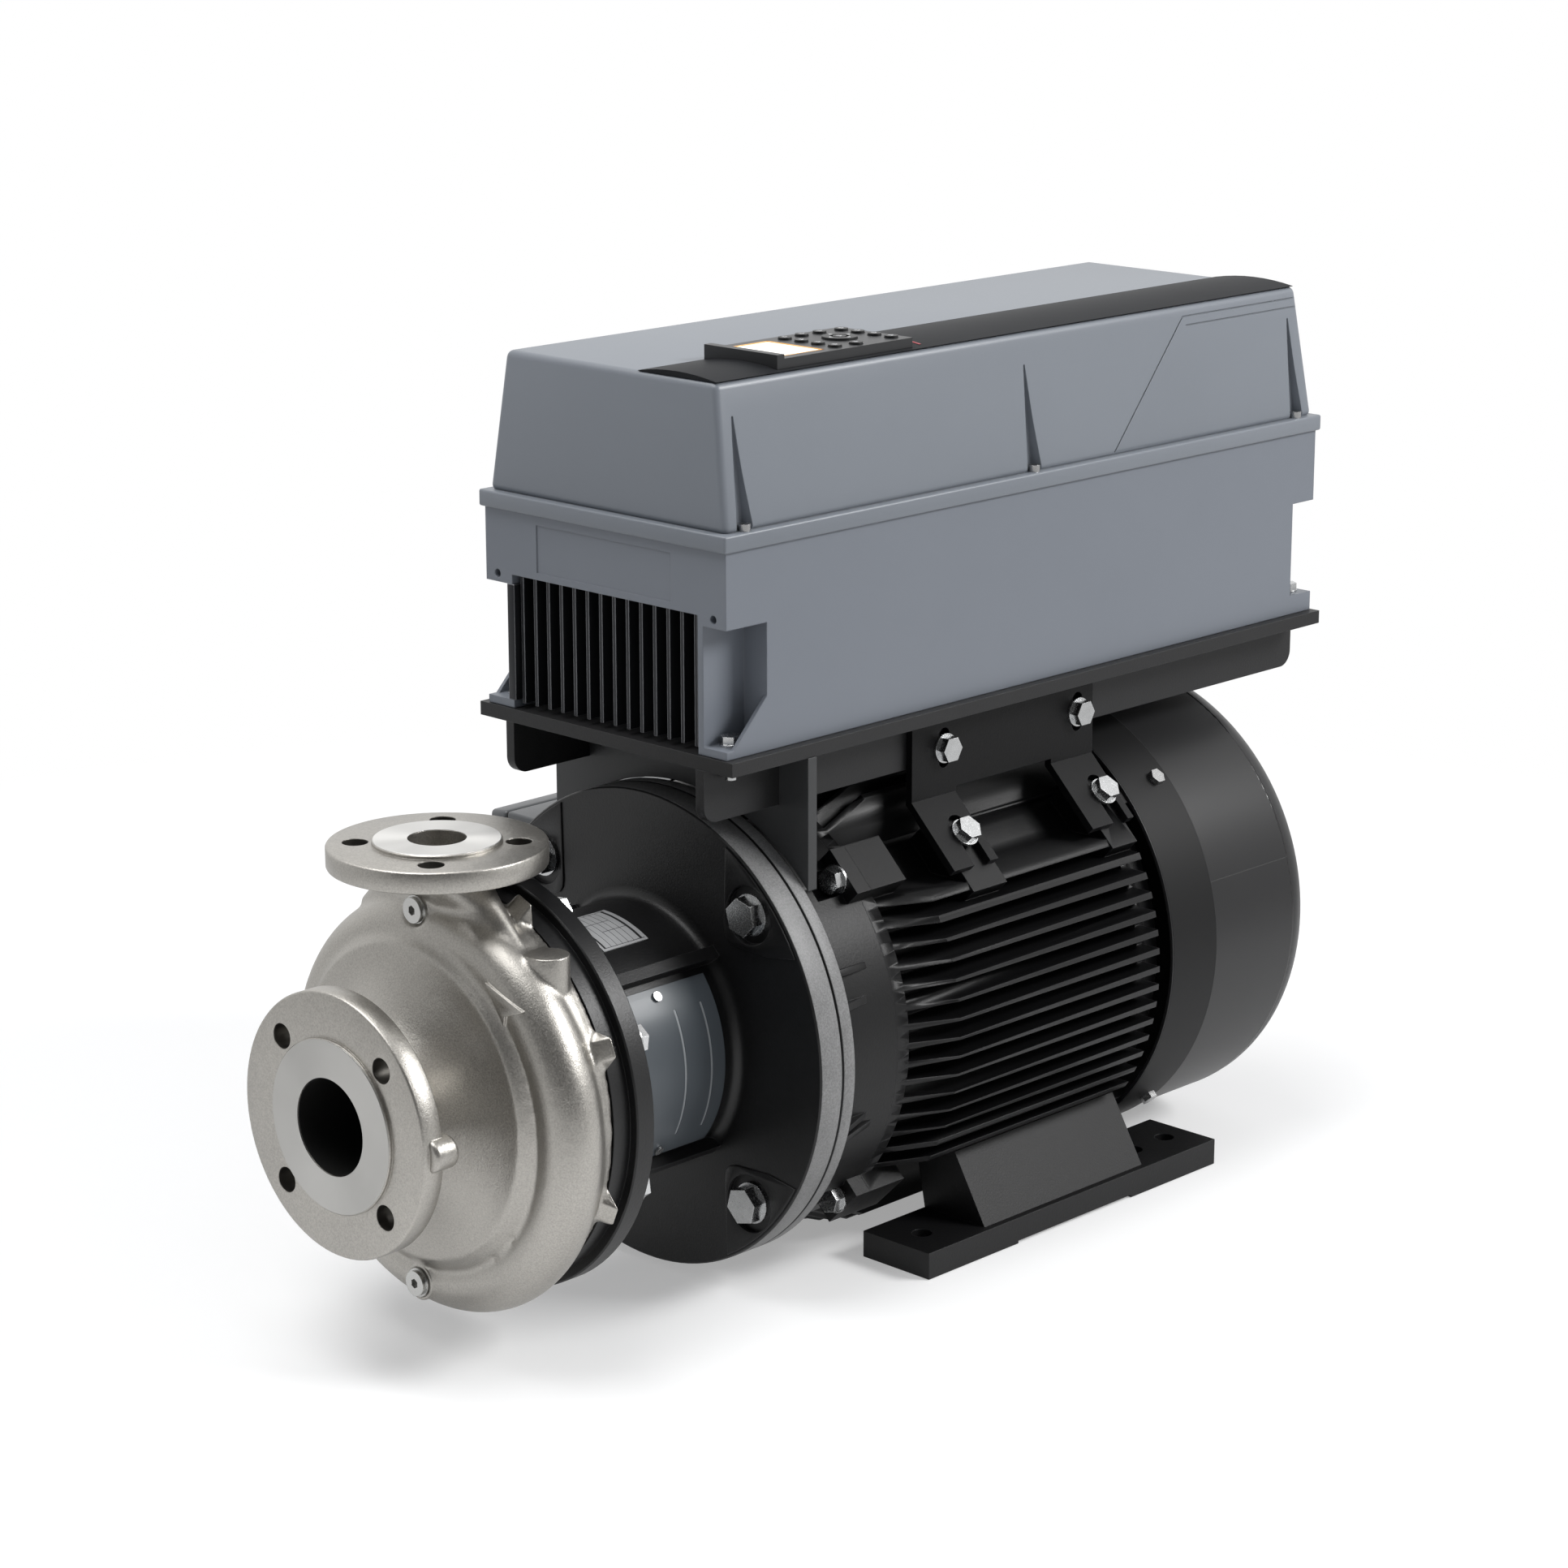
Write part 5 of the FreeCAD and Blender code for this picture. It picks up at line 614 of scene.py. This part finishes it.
def casing():
    """The casing as one piece, with its turned faces set on, and dark walls in its bores that paint their shade."""
    pieces = [cast_body(), suction_flange(), outlet_flange(), flow_arrow()]
    pieces += [plug_boss(80.5, 134), plug_boss(74, -132)] + tap_boss()
    pieces += [rim_boss(angle) for angle in RIM_BOSS_ANGLES]
    whole = merge("cast_casing", *pieces)
    settle(whole, "cast_stainless", corner=38)
    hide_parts("pump_casing")
    joint_face("suction_joint_face", 0, SKIM, SUCTION_SEAT, SUCTION_BORE, SHAFT, "turned_across_shaft")
    joint_face("outlet_joint_face", OUTLET_FACE, -SKIM, OUTLET_SEAT, OUTLET_BORE, UP, "turned_upright_painted_light",
               (OUTLET_X, 0, 0))
    # Dark sleeves in the bolt holes: painted shade.
    walls = []
    for angle in QUARTERS:
        walls.append(hole_wall(SEAT_RISE + WALL_SHORT, SUCTION_BACK - WALL_SHORT, suction_bolt(0, angle), SHAFT))
        walls.append(hole_wall(OUTLET_BACK + WALL_SHORT, OUTLET_FACE - SEAT_RISE - WALL_SHORT,
                               outlet_bolt(0, angle), UP))
    settle(merge("flange_hole_shade_walls", *walls), "hole_painted_shade")
    # A dark lining in the suction bore: painted shade.
    bore_shade = turned("suction_bore_painted_shade", [(1.2, 33.95), (50.5, 33.6), (50.5, 33.0), (1.2, 33.4)], SHAFT)
    settle(bore_shade, "bore_painted_shade")


# The stool and the motor's front shield: raised pads round the flange bolts, grey rims that paint
# their highlight, pale strips in the guards' slots that paint the light in them, ribs on the shield
# and ruled fields on the name plate.
FLANGE_FRONT, SHIELD_FLANGE_BACK, FLANGE_RADIUS = 290, 325, 175
PAD_RIM, BOLT_REACH = 172.6, 106.07
SHIELD_BARREL = 165
PLATE_TOP = 95.8
RULE_WIDTH = 0.35


def bolt_pad(side, level):
    """The raised field round one flange bolt, up to the flange's rim."""
    leans = [math.radians(angle) for angle in range(29, 63, 4)]
    outline = [(PAD_RIM * math.sin(lean), PAD_RIM * math.cos(lean)) for lean in leans]
    outline += [(124, 79.5), (92, 81), (86, 83), (83, 87), (82, 93)]
    pad = prism("bolt_pad", [(FLANGE_FRONT + 0.3, -y * side, z * level) for y, z in outline], (-1.5, 0, 0))
    seat = (FLANGE_FRONT - 6, -BOLT_REACH * side, BOLT_REACH * level)
    carve(pad, [rod("pocket", 21.2, 12, seat, SHAFT)])
    return round_off(pad, 0.5, 2)


def stool_details():
    """The pads, the two rims in a grey that paints their highlight, and the pale strips in the slots that paint the
    light in them.
    """
    pads = merge("flange_bolt_pads", *[bolt_pad(side, level) for side in (1, -1) for level in (1, -1)])
    settle(pads, "black_cast_iron")
    foot, crest = FLANGE_RADIUS - 0.4, FLANGE_RADIUS + 0.15
    # The grey rim bands are painted highlight.
    for name, front, back in (("stool_rim", 291.2, 310.8), ("shield_rim", 313.2, SHIELD_FLANGE_BACK - 1.2)):
        band = turned(name, [(front, foot), (front, FLANGE_RADIUS), (front + 0.4, crest), (back - 0.4, crest),
                             (back, FLANGE_RADIUS), (back, foot)], SHAFT, steps=144)
        settle(band, "rim_painted_highlight")
    # Pale strips in the slots: painted light.
    strips = [sector("strip", [(x, 95.9), (x, 96.75), (x + 2, 96.75), (x + 2, 95.9)], low, low + 56)
              for x in (236, 261) for low in (62, 242)]
    settle(merge("guard_slot_painted_light", *strips), "slot_painted_light")


def shield_gussets():
    """Short ribs that run from the shield's rim on to its barrel."""
    ribs = []
    for angle in (22, 67, 108, 158, 202, 252, 293, 338):
        def corner(behind, left, high, angle=angle):
            out = (SHIELD_BARREL + 0.4 if behind else FLANGE_RADIUS - 1) if high else SHIELD_BARREL - 1
            x = SHIELD_FLANGE_BACK + (34 if behind else -1)
            return round_the_shaft(x, out, 2.6 if left else -2.6, angle)
        ribs.append(round_off(shaped("rib", corner), 0.7, 2))
    settle(merge("shield_gussets", *ribs), "black_shield")


def name_plate_rules():
    """Thin ruled lines on the name plate: seven round it and four along it."""
    foot, crest = PLATE_TOP - 0.05, PLATE_TOP + 0.06
    around = [(212, 1.6)] + [(x, RULE_WIDTH) for x in (218.6, 224, 229.4, 234.8, 240.2)] + [(246, 2.2)]
    rules = [sector("line", [(x, foot), (x, crest), (x + width, crest), (x + width, foot)], 1.2, 26.8)
             for x, width in around]
    for angle, front, back in ((1.2, 212, 250), (26.6, 212, 250), (10, 218.8, 240), (17, 224, 246)):
        def corner(behind, left, high, front=front, back=back, angle=angle):
            return round_the_shaft(back if behind else front, crest if high else foot, 0.2 if left else -0.2, angle)
        rules.append(shaped("line", corner))
    settle(merge("name_plate_rules", *rules), "black_ink")


# The finned frame: a casting's fins are drawn thinner towards their crests. The fins beside the
# bracket pads keep their full thickness.
FIN_PITCH, FIN_HALF, FIN_FOOT, FIN_CREST, CREST_DRAW = 14, 2.3, 152, 180, 1.35
FIN_FRONT, FIN_REAR, LAST_DRAFTED = 391, 650.5, 75


def frame_with_drafted_fins():
    """A copy of the frame whose fins are moved in towards their middles, more at the crest."""
    frame_copy = cad_copy("motor_frame", "cast_frame")
    open_mesh(frame_copy)
    bpy.ops.mesh.dissolve_limited(angle_limit=math.radians(0.8))
    close_mesh()
    for vertex in frame_copy.data.vertices:
        x, y, z = vertex.co / MM
        across, level, reach = ("z", z, abs(y)) if abs(y) > abs(z) else ("y", y, abs(z))
        middle = round(level / FIN_PITCH) * FIN_PITCH
        away = level - middle
        if abs(abs(away) - FIN_HALF) > 0.02 or abs(middle) > LAST_DRAFTED or not FIN_FRONT < x < FIN_REAR:
            continue
        foot = math.sqrt(FIN_FOOT ** 2 - level ** 2)
        crest = math.sqrt(FIN_CREST ** 2 - level ** 2)
        draw = CREST_DRAW * max(0, reach - foot) / (crest - foot)
        setattr(vertex.co, across, (middle + math.copysign(FIN_HALF - draw, away)) * MM)
    settle(frame_copy, "black_frame", corner=25)
    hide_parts("motor_frame")


# The fan cover: its front collar is a separate, duller band, and its sheet meets in a straight seam.
SHOULDER = [(816.6, 176.9), (818, 177.1), (823, 176.6), (828, 175.0), (833, 172.2), (838, 167.8), (842, 163.0),
            (845.0, 158.2), (845.0, 157.0)]
SEAM_ANGLE, SEAM_HALF = 73.5, 0.45


def cover_details():
    """The collar, the glossy drawn shoulder and the seam along the side."""
    collar = turned("fan_cover_collar", [(669, 178.8), (669, 179.1), (720.6, 179.1), (720.9, 178.8)], SHAFT,
                    steps=144)
    settle(collar, "dull_sheet")
    shoulder = turned("fan_cover_shoulder", SHOULDER, SHAFT, steps=144)
    settle(shoulder, "gloss_black_sheet", corner=50)
    seams = []
    for front, back, front_out, back_out in ((721, 817, 177.05, 177.05), (817, 828, 177.15, 175.1)):
        def corner(behind, left, high, front=front, back=back, front_out=front_out, back_out=back_out):
            out = (back_out if behind else front_out) + (0.04 if high else -0.4)
            return round_the_shaft(back if behind else front, out, SEAM_HALF if left else -SEAM_HALF, SEAM_ANGLE)
        seams.append(shaped("seam", corner))
    settle(merge("fan_cover_seam", *seams), "black_ink")


# The drive's lid: a tapered shell over a rim, with six screw recesses and a stepped side panel.
# Foot and crest of the shell are its (front, near) and (rear, far) corners.
RIM_LOW, RIM_TOP, LID_TOP = 368, 380, 479
LID_FOOT, LID_CREST = ((257, -118), (901, 118)), ((264, -102), (895, 106))
LID_OUTWARD = Vector((0, -0.987, 0.16))
RECESS_TOP, RECESS_FOOT = 456, 378


def lid_side(x, z):
    """A point on the lid's leaning near side."""
    foot, crest = LID_FOOT[0][1], LID_CREST[0][1]
    return x, foot + (crest - foot) * (z - RIM_TOP) / (LID_TOP - RIM_TOP), z


def lid_recess(x, side):
    """The tapered notch above a lid screw, as a cutter: a thin point on top, wide and open below."""
    def corner(right, beyond, high):
        out = beyond if side > 0 else not beyond
        if high:
            inner = 104.5 + 3.5 * (side > 0)
            return x + (0.8 if right else -0.8), side * (113 if out else inner), RECESS_TOP
        return x + (10 if right else -10) * (1 if out else 0.55), side * (124 if out else 110), RECESS_FOOT
    return shaped("recess", corner)


def groove(start, end, width=1.1, depth=0.9):
    """A thin cutter along a line on the lid's near side."""
    way = (Vector(end) - Vector(start)).normalized()
    side = way.cross(LID_OUTWARD).normalized() * width / 2
    outline = [Vector(start) + side, Vector(start) - side, Vector(end) - side, Vector(end) + side]
    return prism("groove", [spot - LID_OUTWARD * depth for spot in outline], LID_OUTWARD * (depth + 3))


def lid():
    """The lid's shell with its rounded uprights, its rim, recesses and panel grooves."""
    def corner(behind, left, high):
        (front, near), (rear, far) = LID_CREST if high else LID_FOOT
        return rear if behind else front, far if left else near, LID_TOP if high else RIM_TOP - 1
    shell = shaped("drive_lid_shell", corner)
    pick(shell)
    bpy.ops.object.mode_set(mode="EDIT")
    bpy.ops.mesh.select_all(action="DESELECT")
    close_mesh()
    for edge in shell.data.edges:
        one, two = (shell.data.vertices[i].co for i in edge.vertices)
        edge.select = abs(one.z - two.z) > 0.05
    bpy.ops.object.mode_set(mode="EDIT")
    bpy.ops.mesh.select_mode(type="EDGE")
    bpy.ops.mesh.bevel(offset=5 * MM, segments=5, affect="EDGES")
    close_mesh()
    round_off(shell, 2.6, 4, 50)
    rim = round_off(block("lid_rim", (251.5, -123, RIM_LOW), (906, 123, RIM_TOP)), 1.6, 3)
    cutters = [lid_recess(x, side) for x in (276, 572, 881) for side in (-1, 1)]
    cutters.append(groove(lid_side(660.4, 381), lid_side(755, 470.5)))
    cutters.append(groove(lid_side(755, 470.5), lid_side(904, 470.5)))
    cutters.append(groove(lid_side(758, 463.8), lid_side(904, 463.8)))
    carve(shell, cutters)
    whole = merge("drive_lid_shell", shell, rim)
    settle(whole, "lid_grey", corner=30)
    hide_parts("drive_lid")


# The terminal box on the far side: a cast box and lid with drafted, rounded walls, a dark gasket
# line between them, four lid screws in their ears, and two blanked cable entries underneath.
BOX_FRONT, BOX_REAR, BOX_HIGH = 372, 558, 98
BOX_INNER, BOX_JOINT, BOX_OUTER = 182, 236, 258
EAR_INSET, ENTRY_INSET, ENTRY_DEPTH = 13, 55, 27


def drafted_block(label, near, far, near_inset, far_inset):
    """A block between two depths in Y whose outline shrinks by an inset at each."""
    def corner(behind, left, high):
        inset = far_inset if left else near_inset
        return (BOX_REAR - inset if behind else BOX_FRONT + inset, far if left else near,
                BOX_HIGH - inset if high else inset - BOX_HIGH)
    return shaped(label, corner)


def terminal_cover():
    """The box, its lid, gasket and screws, and the two entries with hexagon plugs."""
    cover = round_off(drafted_block("terminal_lid_shell", BOX_JOINT + 0.8, BOX_OUTER, 0.2, 3), 3.5, 4)
    ears, screws = [], []
    for x in (BOX_FRONT + EAR_INSET, BOX_REAR - EAR_INSET):
        for z in (BOX_HIGH - EAR_INSET, EAR_INSET - BOX_HIGH):
            ears.append(rod("ear_pocket", 8, 30, (x, BOX_OUTER - 6, z), FAR_SIDE, 48))
            head = round_off(rod("terminal_screw", 5.2, 4, (x, BOX_OUTER - 6.2, z), FAR_SIDE, 48), 0.9, 3)
            carve(head, [block("slot", (x - 7, BOX_OUTER - 3.6, z - 0.7), (x + 7, BOX_OUTER, z + 0.7))])
            screws.append(head)
    carve(cover, ears)
    settle(cover, "black_box", corner=30)
    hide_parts("terminal_box_lid")
    settle(merge("terminal_lid_screws", *screws), "screw_steel")
    seal = round_off(drafted_block("terminal_gasket", BOX_JOINT - 0.4, BOX_JOINT + 1.2, 1.6, 1.6), 3, 3)
    settle(seal, "black_rubber")
    body = round_off(drafted_block("terminal_box_shell", BOX_INNER + 0.2, BOX_JOINT - 0.4, 0.8, 0.2), 2.5, 4)
    settle(body, "black_box", corner=30)
    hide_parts("terminal_box")
    entries = []
    for x in (BOX_FRONT + ENTRY_INSET, BOX_REAR - ENTRY_INSET):
        spot = (x, BOX_INNER + ENTRY_DEPTH, 0)
        entries.append(turned("entry", [(-101.5, 0.01), (-101.5, 17), (-100.6, 18.4), (-92, 18.8), (-92, 0.01)],
                              UP, spot, 48))
        entries.append(turned("entry", [(-104.5, 0.01), (-104.5, 12.6), (-103.6, 13.4), (-101, 13.4), (-101, 0.01)],
                              UP, spot, 6))
    settle(merge("terminal_entries", *entries), "black_box")


def heat_sink_wall():
    """The heat sink's end wall on the far side, black as its fins."""
    wall = round_off(block("heat_sink_end_wall", (254.75, 91, 231.2), (293.5, 98.25, 315)), 0.4, 2)
    settle(wall, "heat_sink_aluminium")


# The control panel's display, the print on its keys and the red line beside it.
PANEL_TOP = 487
SCREEN, BORDER = ((340, -89), (382, -35)), 1.6
PRINT_RISE = 0.12
LINE_REACH, LINE_HALF, LINE_STEP = 1.9, 0.35, 1.5
STRIPE_STEPS, STRIPE_WIDTH = 10, 2.4


def display():
    """The lit window and the four bars of its border."""
    (front, right), (back, left) = SCREEN
    low, crest = PANEL_TOP - 1, PANEL_TOP + 0.1
    glass = block("display_window", (front + BORDER, right + BORDER, low), (back - BORDER, left - BORDER, low + 0.8))
    settle(round_off(glass, 0.3, 2), "display_cream")
    bars = [block("bar", (front, right, low), (front + BORDER, left, crest)),
            block("bar", (back - BORDER, right, low), (back, left, crest)),
            block("bar", (front, right, low), (back, right + BORDER, crest)),
            block("bar", (front, left - BORDER, low), (back, left, crest))]
    settle(merge("display_border", *bars), "display_amber")


def key_prints():
    """Three short lines printed on top of each key and four marks on the ring, which travel with it."""
    for name in sorted(frame["nodes"]):
        if not name.endswith("_key") or name == "arrow_ring_key":
            continue
        low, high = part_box(name)
        centre, top = (low + high) / 2 / MM, high.z / MM
        lines = []
        for row in (-1, 0, 1):
            y = centre.y + row * LINE_STEP
            lines.append(block("bar", (centre.x - LINE_REACH, y - LINE_HALF, top),
                               (centre.x + LINE_REACH - abs(row) * 1.2, y + LINE_HALF, top + PRINT_RISE)))
        settle(merge(name + "_print", *lines), "white_ink", name + "_cap")
    low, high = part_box("arrow_ring_key")
    centre, top = (low + high) / 2 / MM, high.z / MM
    base = Vector((centre.x, centre.y, top))
    marks = []
    for index in range(4):
        angle = math.tau * index / 4
        away = Vector((math.cos(angle), math.sin(angle), 0))
        across = Vector((-math.sin(angle), math.cos(angle), 0))
        marks.append(prism("mark", [base + away * 8 - across * 1.8, base + away * 8 + across * 1.8,
                                    base + away * 11], (0, 0, PRINT_RISE)))
    settle(merge("arrow_ring_print", *marks), "white_ink", "arrow_ring_key_cap")


def red_line():
    """A curved stripe that crosses the crowned strip behind the panel."""
    spots = []
    for index in range(STRIPE_STEPS + 1):
        share = index / STRIPE_STEPS
        y = -40 - 54 * share
        spots.append((466 + 7 * math.sin(share * math.pi * 0.5), y, 482.8 - (y + 63.5) ** 2 / 410))
    parts = [prism("stripe", [(x0, y0, z0), (x0 + STRIPE_WIDTH, y0, z0), (x1 + STRIPE_WIDTH, y1, z1), (x1, y1, z1)],
                   (0, 0, 0.25))
             for (x0, y0, z0), (x1, y1, z1) in zip(spots, spots[1:])]
    settle(merge("red_stripe", *parts), "red_ink")


casing()
stool_details()
shield_gussets()
name_plate_rules()
frame_with_drafted_fins()
cover_details()
lid()
terminal_cover()
heat_sink_wall()
display()
key_prints()
red_line()

# The floor: pale, and lifted to white for the camera and for reflections, with its shadow kept.
# From FLOOR_NEAR metres out its shadow fades, and from FLOOR_FAR on it is plain white. Gloss
# sees it dimmed, so that it doesn't light the underside of black pieces.
FLOOR_NEAR, FLOOR_FAR = 0.75, 1.5
NEAR_LIFT, GLOSS_LIFT = 0.34, 0.7
bpy.ops.mesh.primitive_plane_add(size=30, location=(0.42, 0, cad_low.z - 0.0005))
floor = bpy.context.object
floor.name = "studio_floor"
ground = bpy.data.materials.new("pale_floor")
ground.use_nodes = True
tree = ground.node_tree
paint = tree.nodes["Principled BSDF"]
paint.inputs["Base Color"].default_value = linear("#D8D8D8")
paint.inputs["Roughness"].default_value = 1.0
paint.inputs["Specular IOR Level"].default_value = 0.0
path = node(tree, "ShaderNodeLightPath", {})
seen = node(tree, "ShaderNodeMath", {"operation": "MAXIMUM"},
            {0: path.outputs["Is Camera Ray"], 1: path.outputs["Is Glossy Ray"]})
dimmed = node(tree, "ShaderNodeMapRange", {"To Min": 1.0, "To Max": GLOSS_LIFT},
              {"Value": path.outputs["Is Glossy Ray"]})
near_lift = node(tree, "ShaderNodeMath", {"operation": "MULTIPLY", 1: NEAR_LIFT}, {0: dimmed.outputs["Result"]})
seen = node(tree, "ShaderNodeMath", {"operation": "MAXIMUM"},
            {0: seen.outputs[0], 1: path.outputs["Is Transmission Ray"]})
place = node(tree, "ShaderNodeTexCoord", {}).outputs["Object"]
away = node(tree, "ShaderNodeVectorMath", {"operation": "LENGTH"}, {0: place})
far = node(tree, "ShaderNodeMapRange", {"From Min": FLOOR_NEAR, "From Max": FLOOR_FAR},
           {"Value": away.outputs["Value"]})
lift = node(tree, "ShaderNodeEmission", {"Color": (1, 1, 1, 1)}, {"Strength": near_lift.outputs[0]})
white = node(tree, "ShaderNodeEmission", {"Color": (1, 1, 1, 1)}, {"Strength": dimmed.outputs["Result"]})
lit = node(tree, "ShaderNodeAddShader", {}, {0: paint.outputs[0], 1: lift.outputs[0]})
spread = node(tree, "ShaderNodeMixShader", {}, {0: far.outputs[0], 1: lit.outputs[0], 2: white.outputs[0]})
both = node(tree, "ShaderNodeMixShader", {}, {0: seen.outputs[0], 1: paint.outputs[0], 2: spread.outputs[0]})
tree.links.new(both.outputs[0], tree.nodes["Material Output"].inputs["Surface"])
floor.data.materials.append(ground)

# The world: grey light, a white backdrop for the camera and in reflections, and a dark flag hung
# in the front corner of the room, which keeps round metal from going flat.
FLAG_WAY = (-0.69, -0.67, 0.26)
world = bpy.context.scene.world or bpy.data.worlds.new("studio")
bpy.context.scene.world = world
world.use_nodes = True
tree = world.node_tree
tree.nodes.clear()
path = node(tree, "ShaderNodeLightPath", {})
mirrored = node(tree, "ShaderNodeMath", {"operation": "MAXIMUM"},
                {0: path.outputs["Is Glossy Ray"], 1: path.outputs["Is Transmission Ray"]})
way = node(tree, "ShaderNodeTexCoord", {}).outputs["Generated"]
near_flag = node(tree, "ShaderNodeVectorMath", {"operation": "DOT_PRODUCT", 1: FLAG_WAY}, {0: way})
open_sky = node(tree, "ShaderNodeMapRange", {"From Min": -0.35, "From Max": 0.72, "To Min": 1.0, "To Max": 0.10},
                {"Value": near_flag.outputs["Value"]})
soft = node(tree, "ShaderNodeBackground", {"Color": linear("#E6E8EC"), "Strength": 0.4})
flagged = node(tree, "ShaderNodeBackground", {"Color": (1, 1, 1, 1)}, {"Strength": open_sky.outputs["Result"]})
white = node(tree, "ShaderNodeBackground", {"Color": (1, 1, 1, 1), "Strength": 1.0})
inner = node(tree, "ShaderNodeMixShader", {},
             {0: mirrored.outputs[0], 1: soft.outputs[0], 2: flagged.outputs[0]})
outer = node(tree, "ShaderNodeMixShader", {},
             {0: path.outputs["Is Camera Ray"], 1: inner.outputs[0], 2: white.outputs[0]})
node(tree, "ShaderNodeOutputWorld", {}, {"Surface": outer.outputs[0]})

PUMP_MIDDLE = (0.42, 0.0, 0.12)


def lamp(name, spot, size, power):
    """A soft box at a spot in metres, turned to the middle of the pump."""
    bpy.ops.object.light_add(type="AREA", location=spot)
    made = bpy.context.object
    made.name = name
    made.data.shape = "RECTANGLE"
    made.data.size, made.data.size_y = size
    made.data.energy = power
    made.rotation_euler = (Vector(PUMP_MIDDLE) - Vector(spot)).to_track_quat("-Z", "Y").to_euler()


lamp("side_softbox", (2.3, -2.6, 2.3), (1.6, 1.1), 118)
lamp("top_softbox", (-0.35, 0.5, 3.1), (2.6, 2.0), 84)
lamp("front_softbox", (-3.0, 0.9, 1.4), (1.2, 1.8), 4)

# The camera, as it was solved from the photograph: focal length in pixels, angles in degrees.
SENSOR_MM, IMAGE_PIXELS, FOCAL_PIXELS = 36.0, 1932, 4910.2
YAW, PITCH, ROLL = 45.7511, 15.1879, -0.0817
bpy.ops.object.camera_add(location=(-1.578317, -1.959804, 0.914397))
camera = bpy.context.object
camera.name = "photo_camera"
camera.data.sensor_width = SENSOR_MM
camera.data.lens = FOCAL_PIXELS / IMAGE_PIXELS * SENSOR_MM
yaw, pitch, roll = math.radians(YAW), math.radians(PITCH), math.radians(ROLL)
forward = Vector((math.sin(yaw) * math.cos(pitch), math.cos(yaw) * math.cos(pitch), -math.sin(pitch)))
turn = forward.to_track_quat("-Z", "Y").to_matrix() @ Euler((0, 0, roll)).to_matrix()
camera.rotation_euler = turn.to_euler()
camera.data.clip_start, camera.data.clip_end = 0.05, 60
bpy.context.scene.camera = camera
bpy.context.scene.view_settings.view_transform = "Standard"
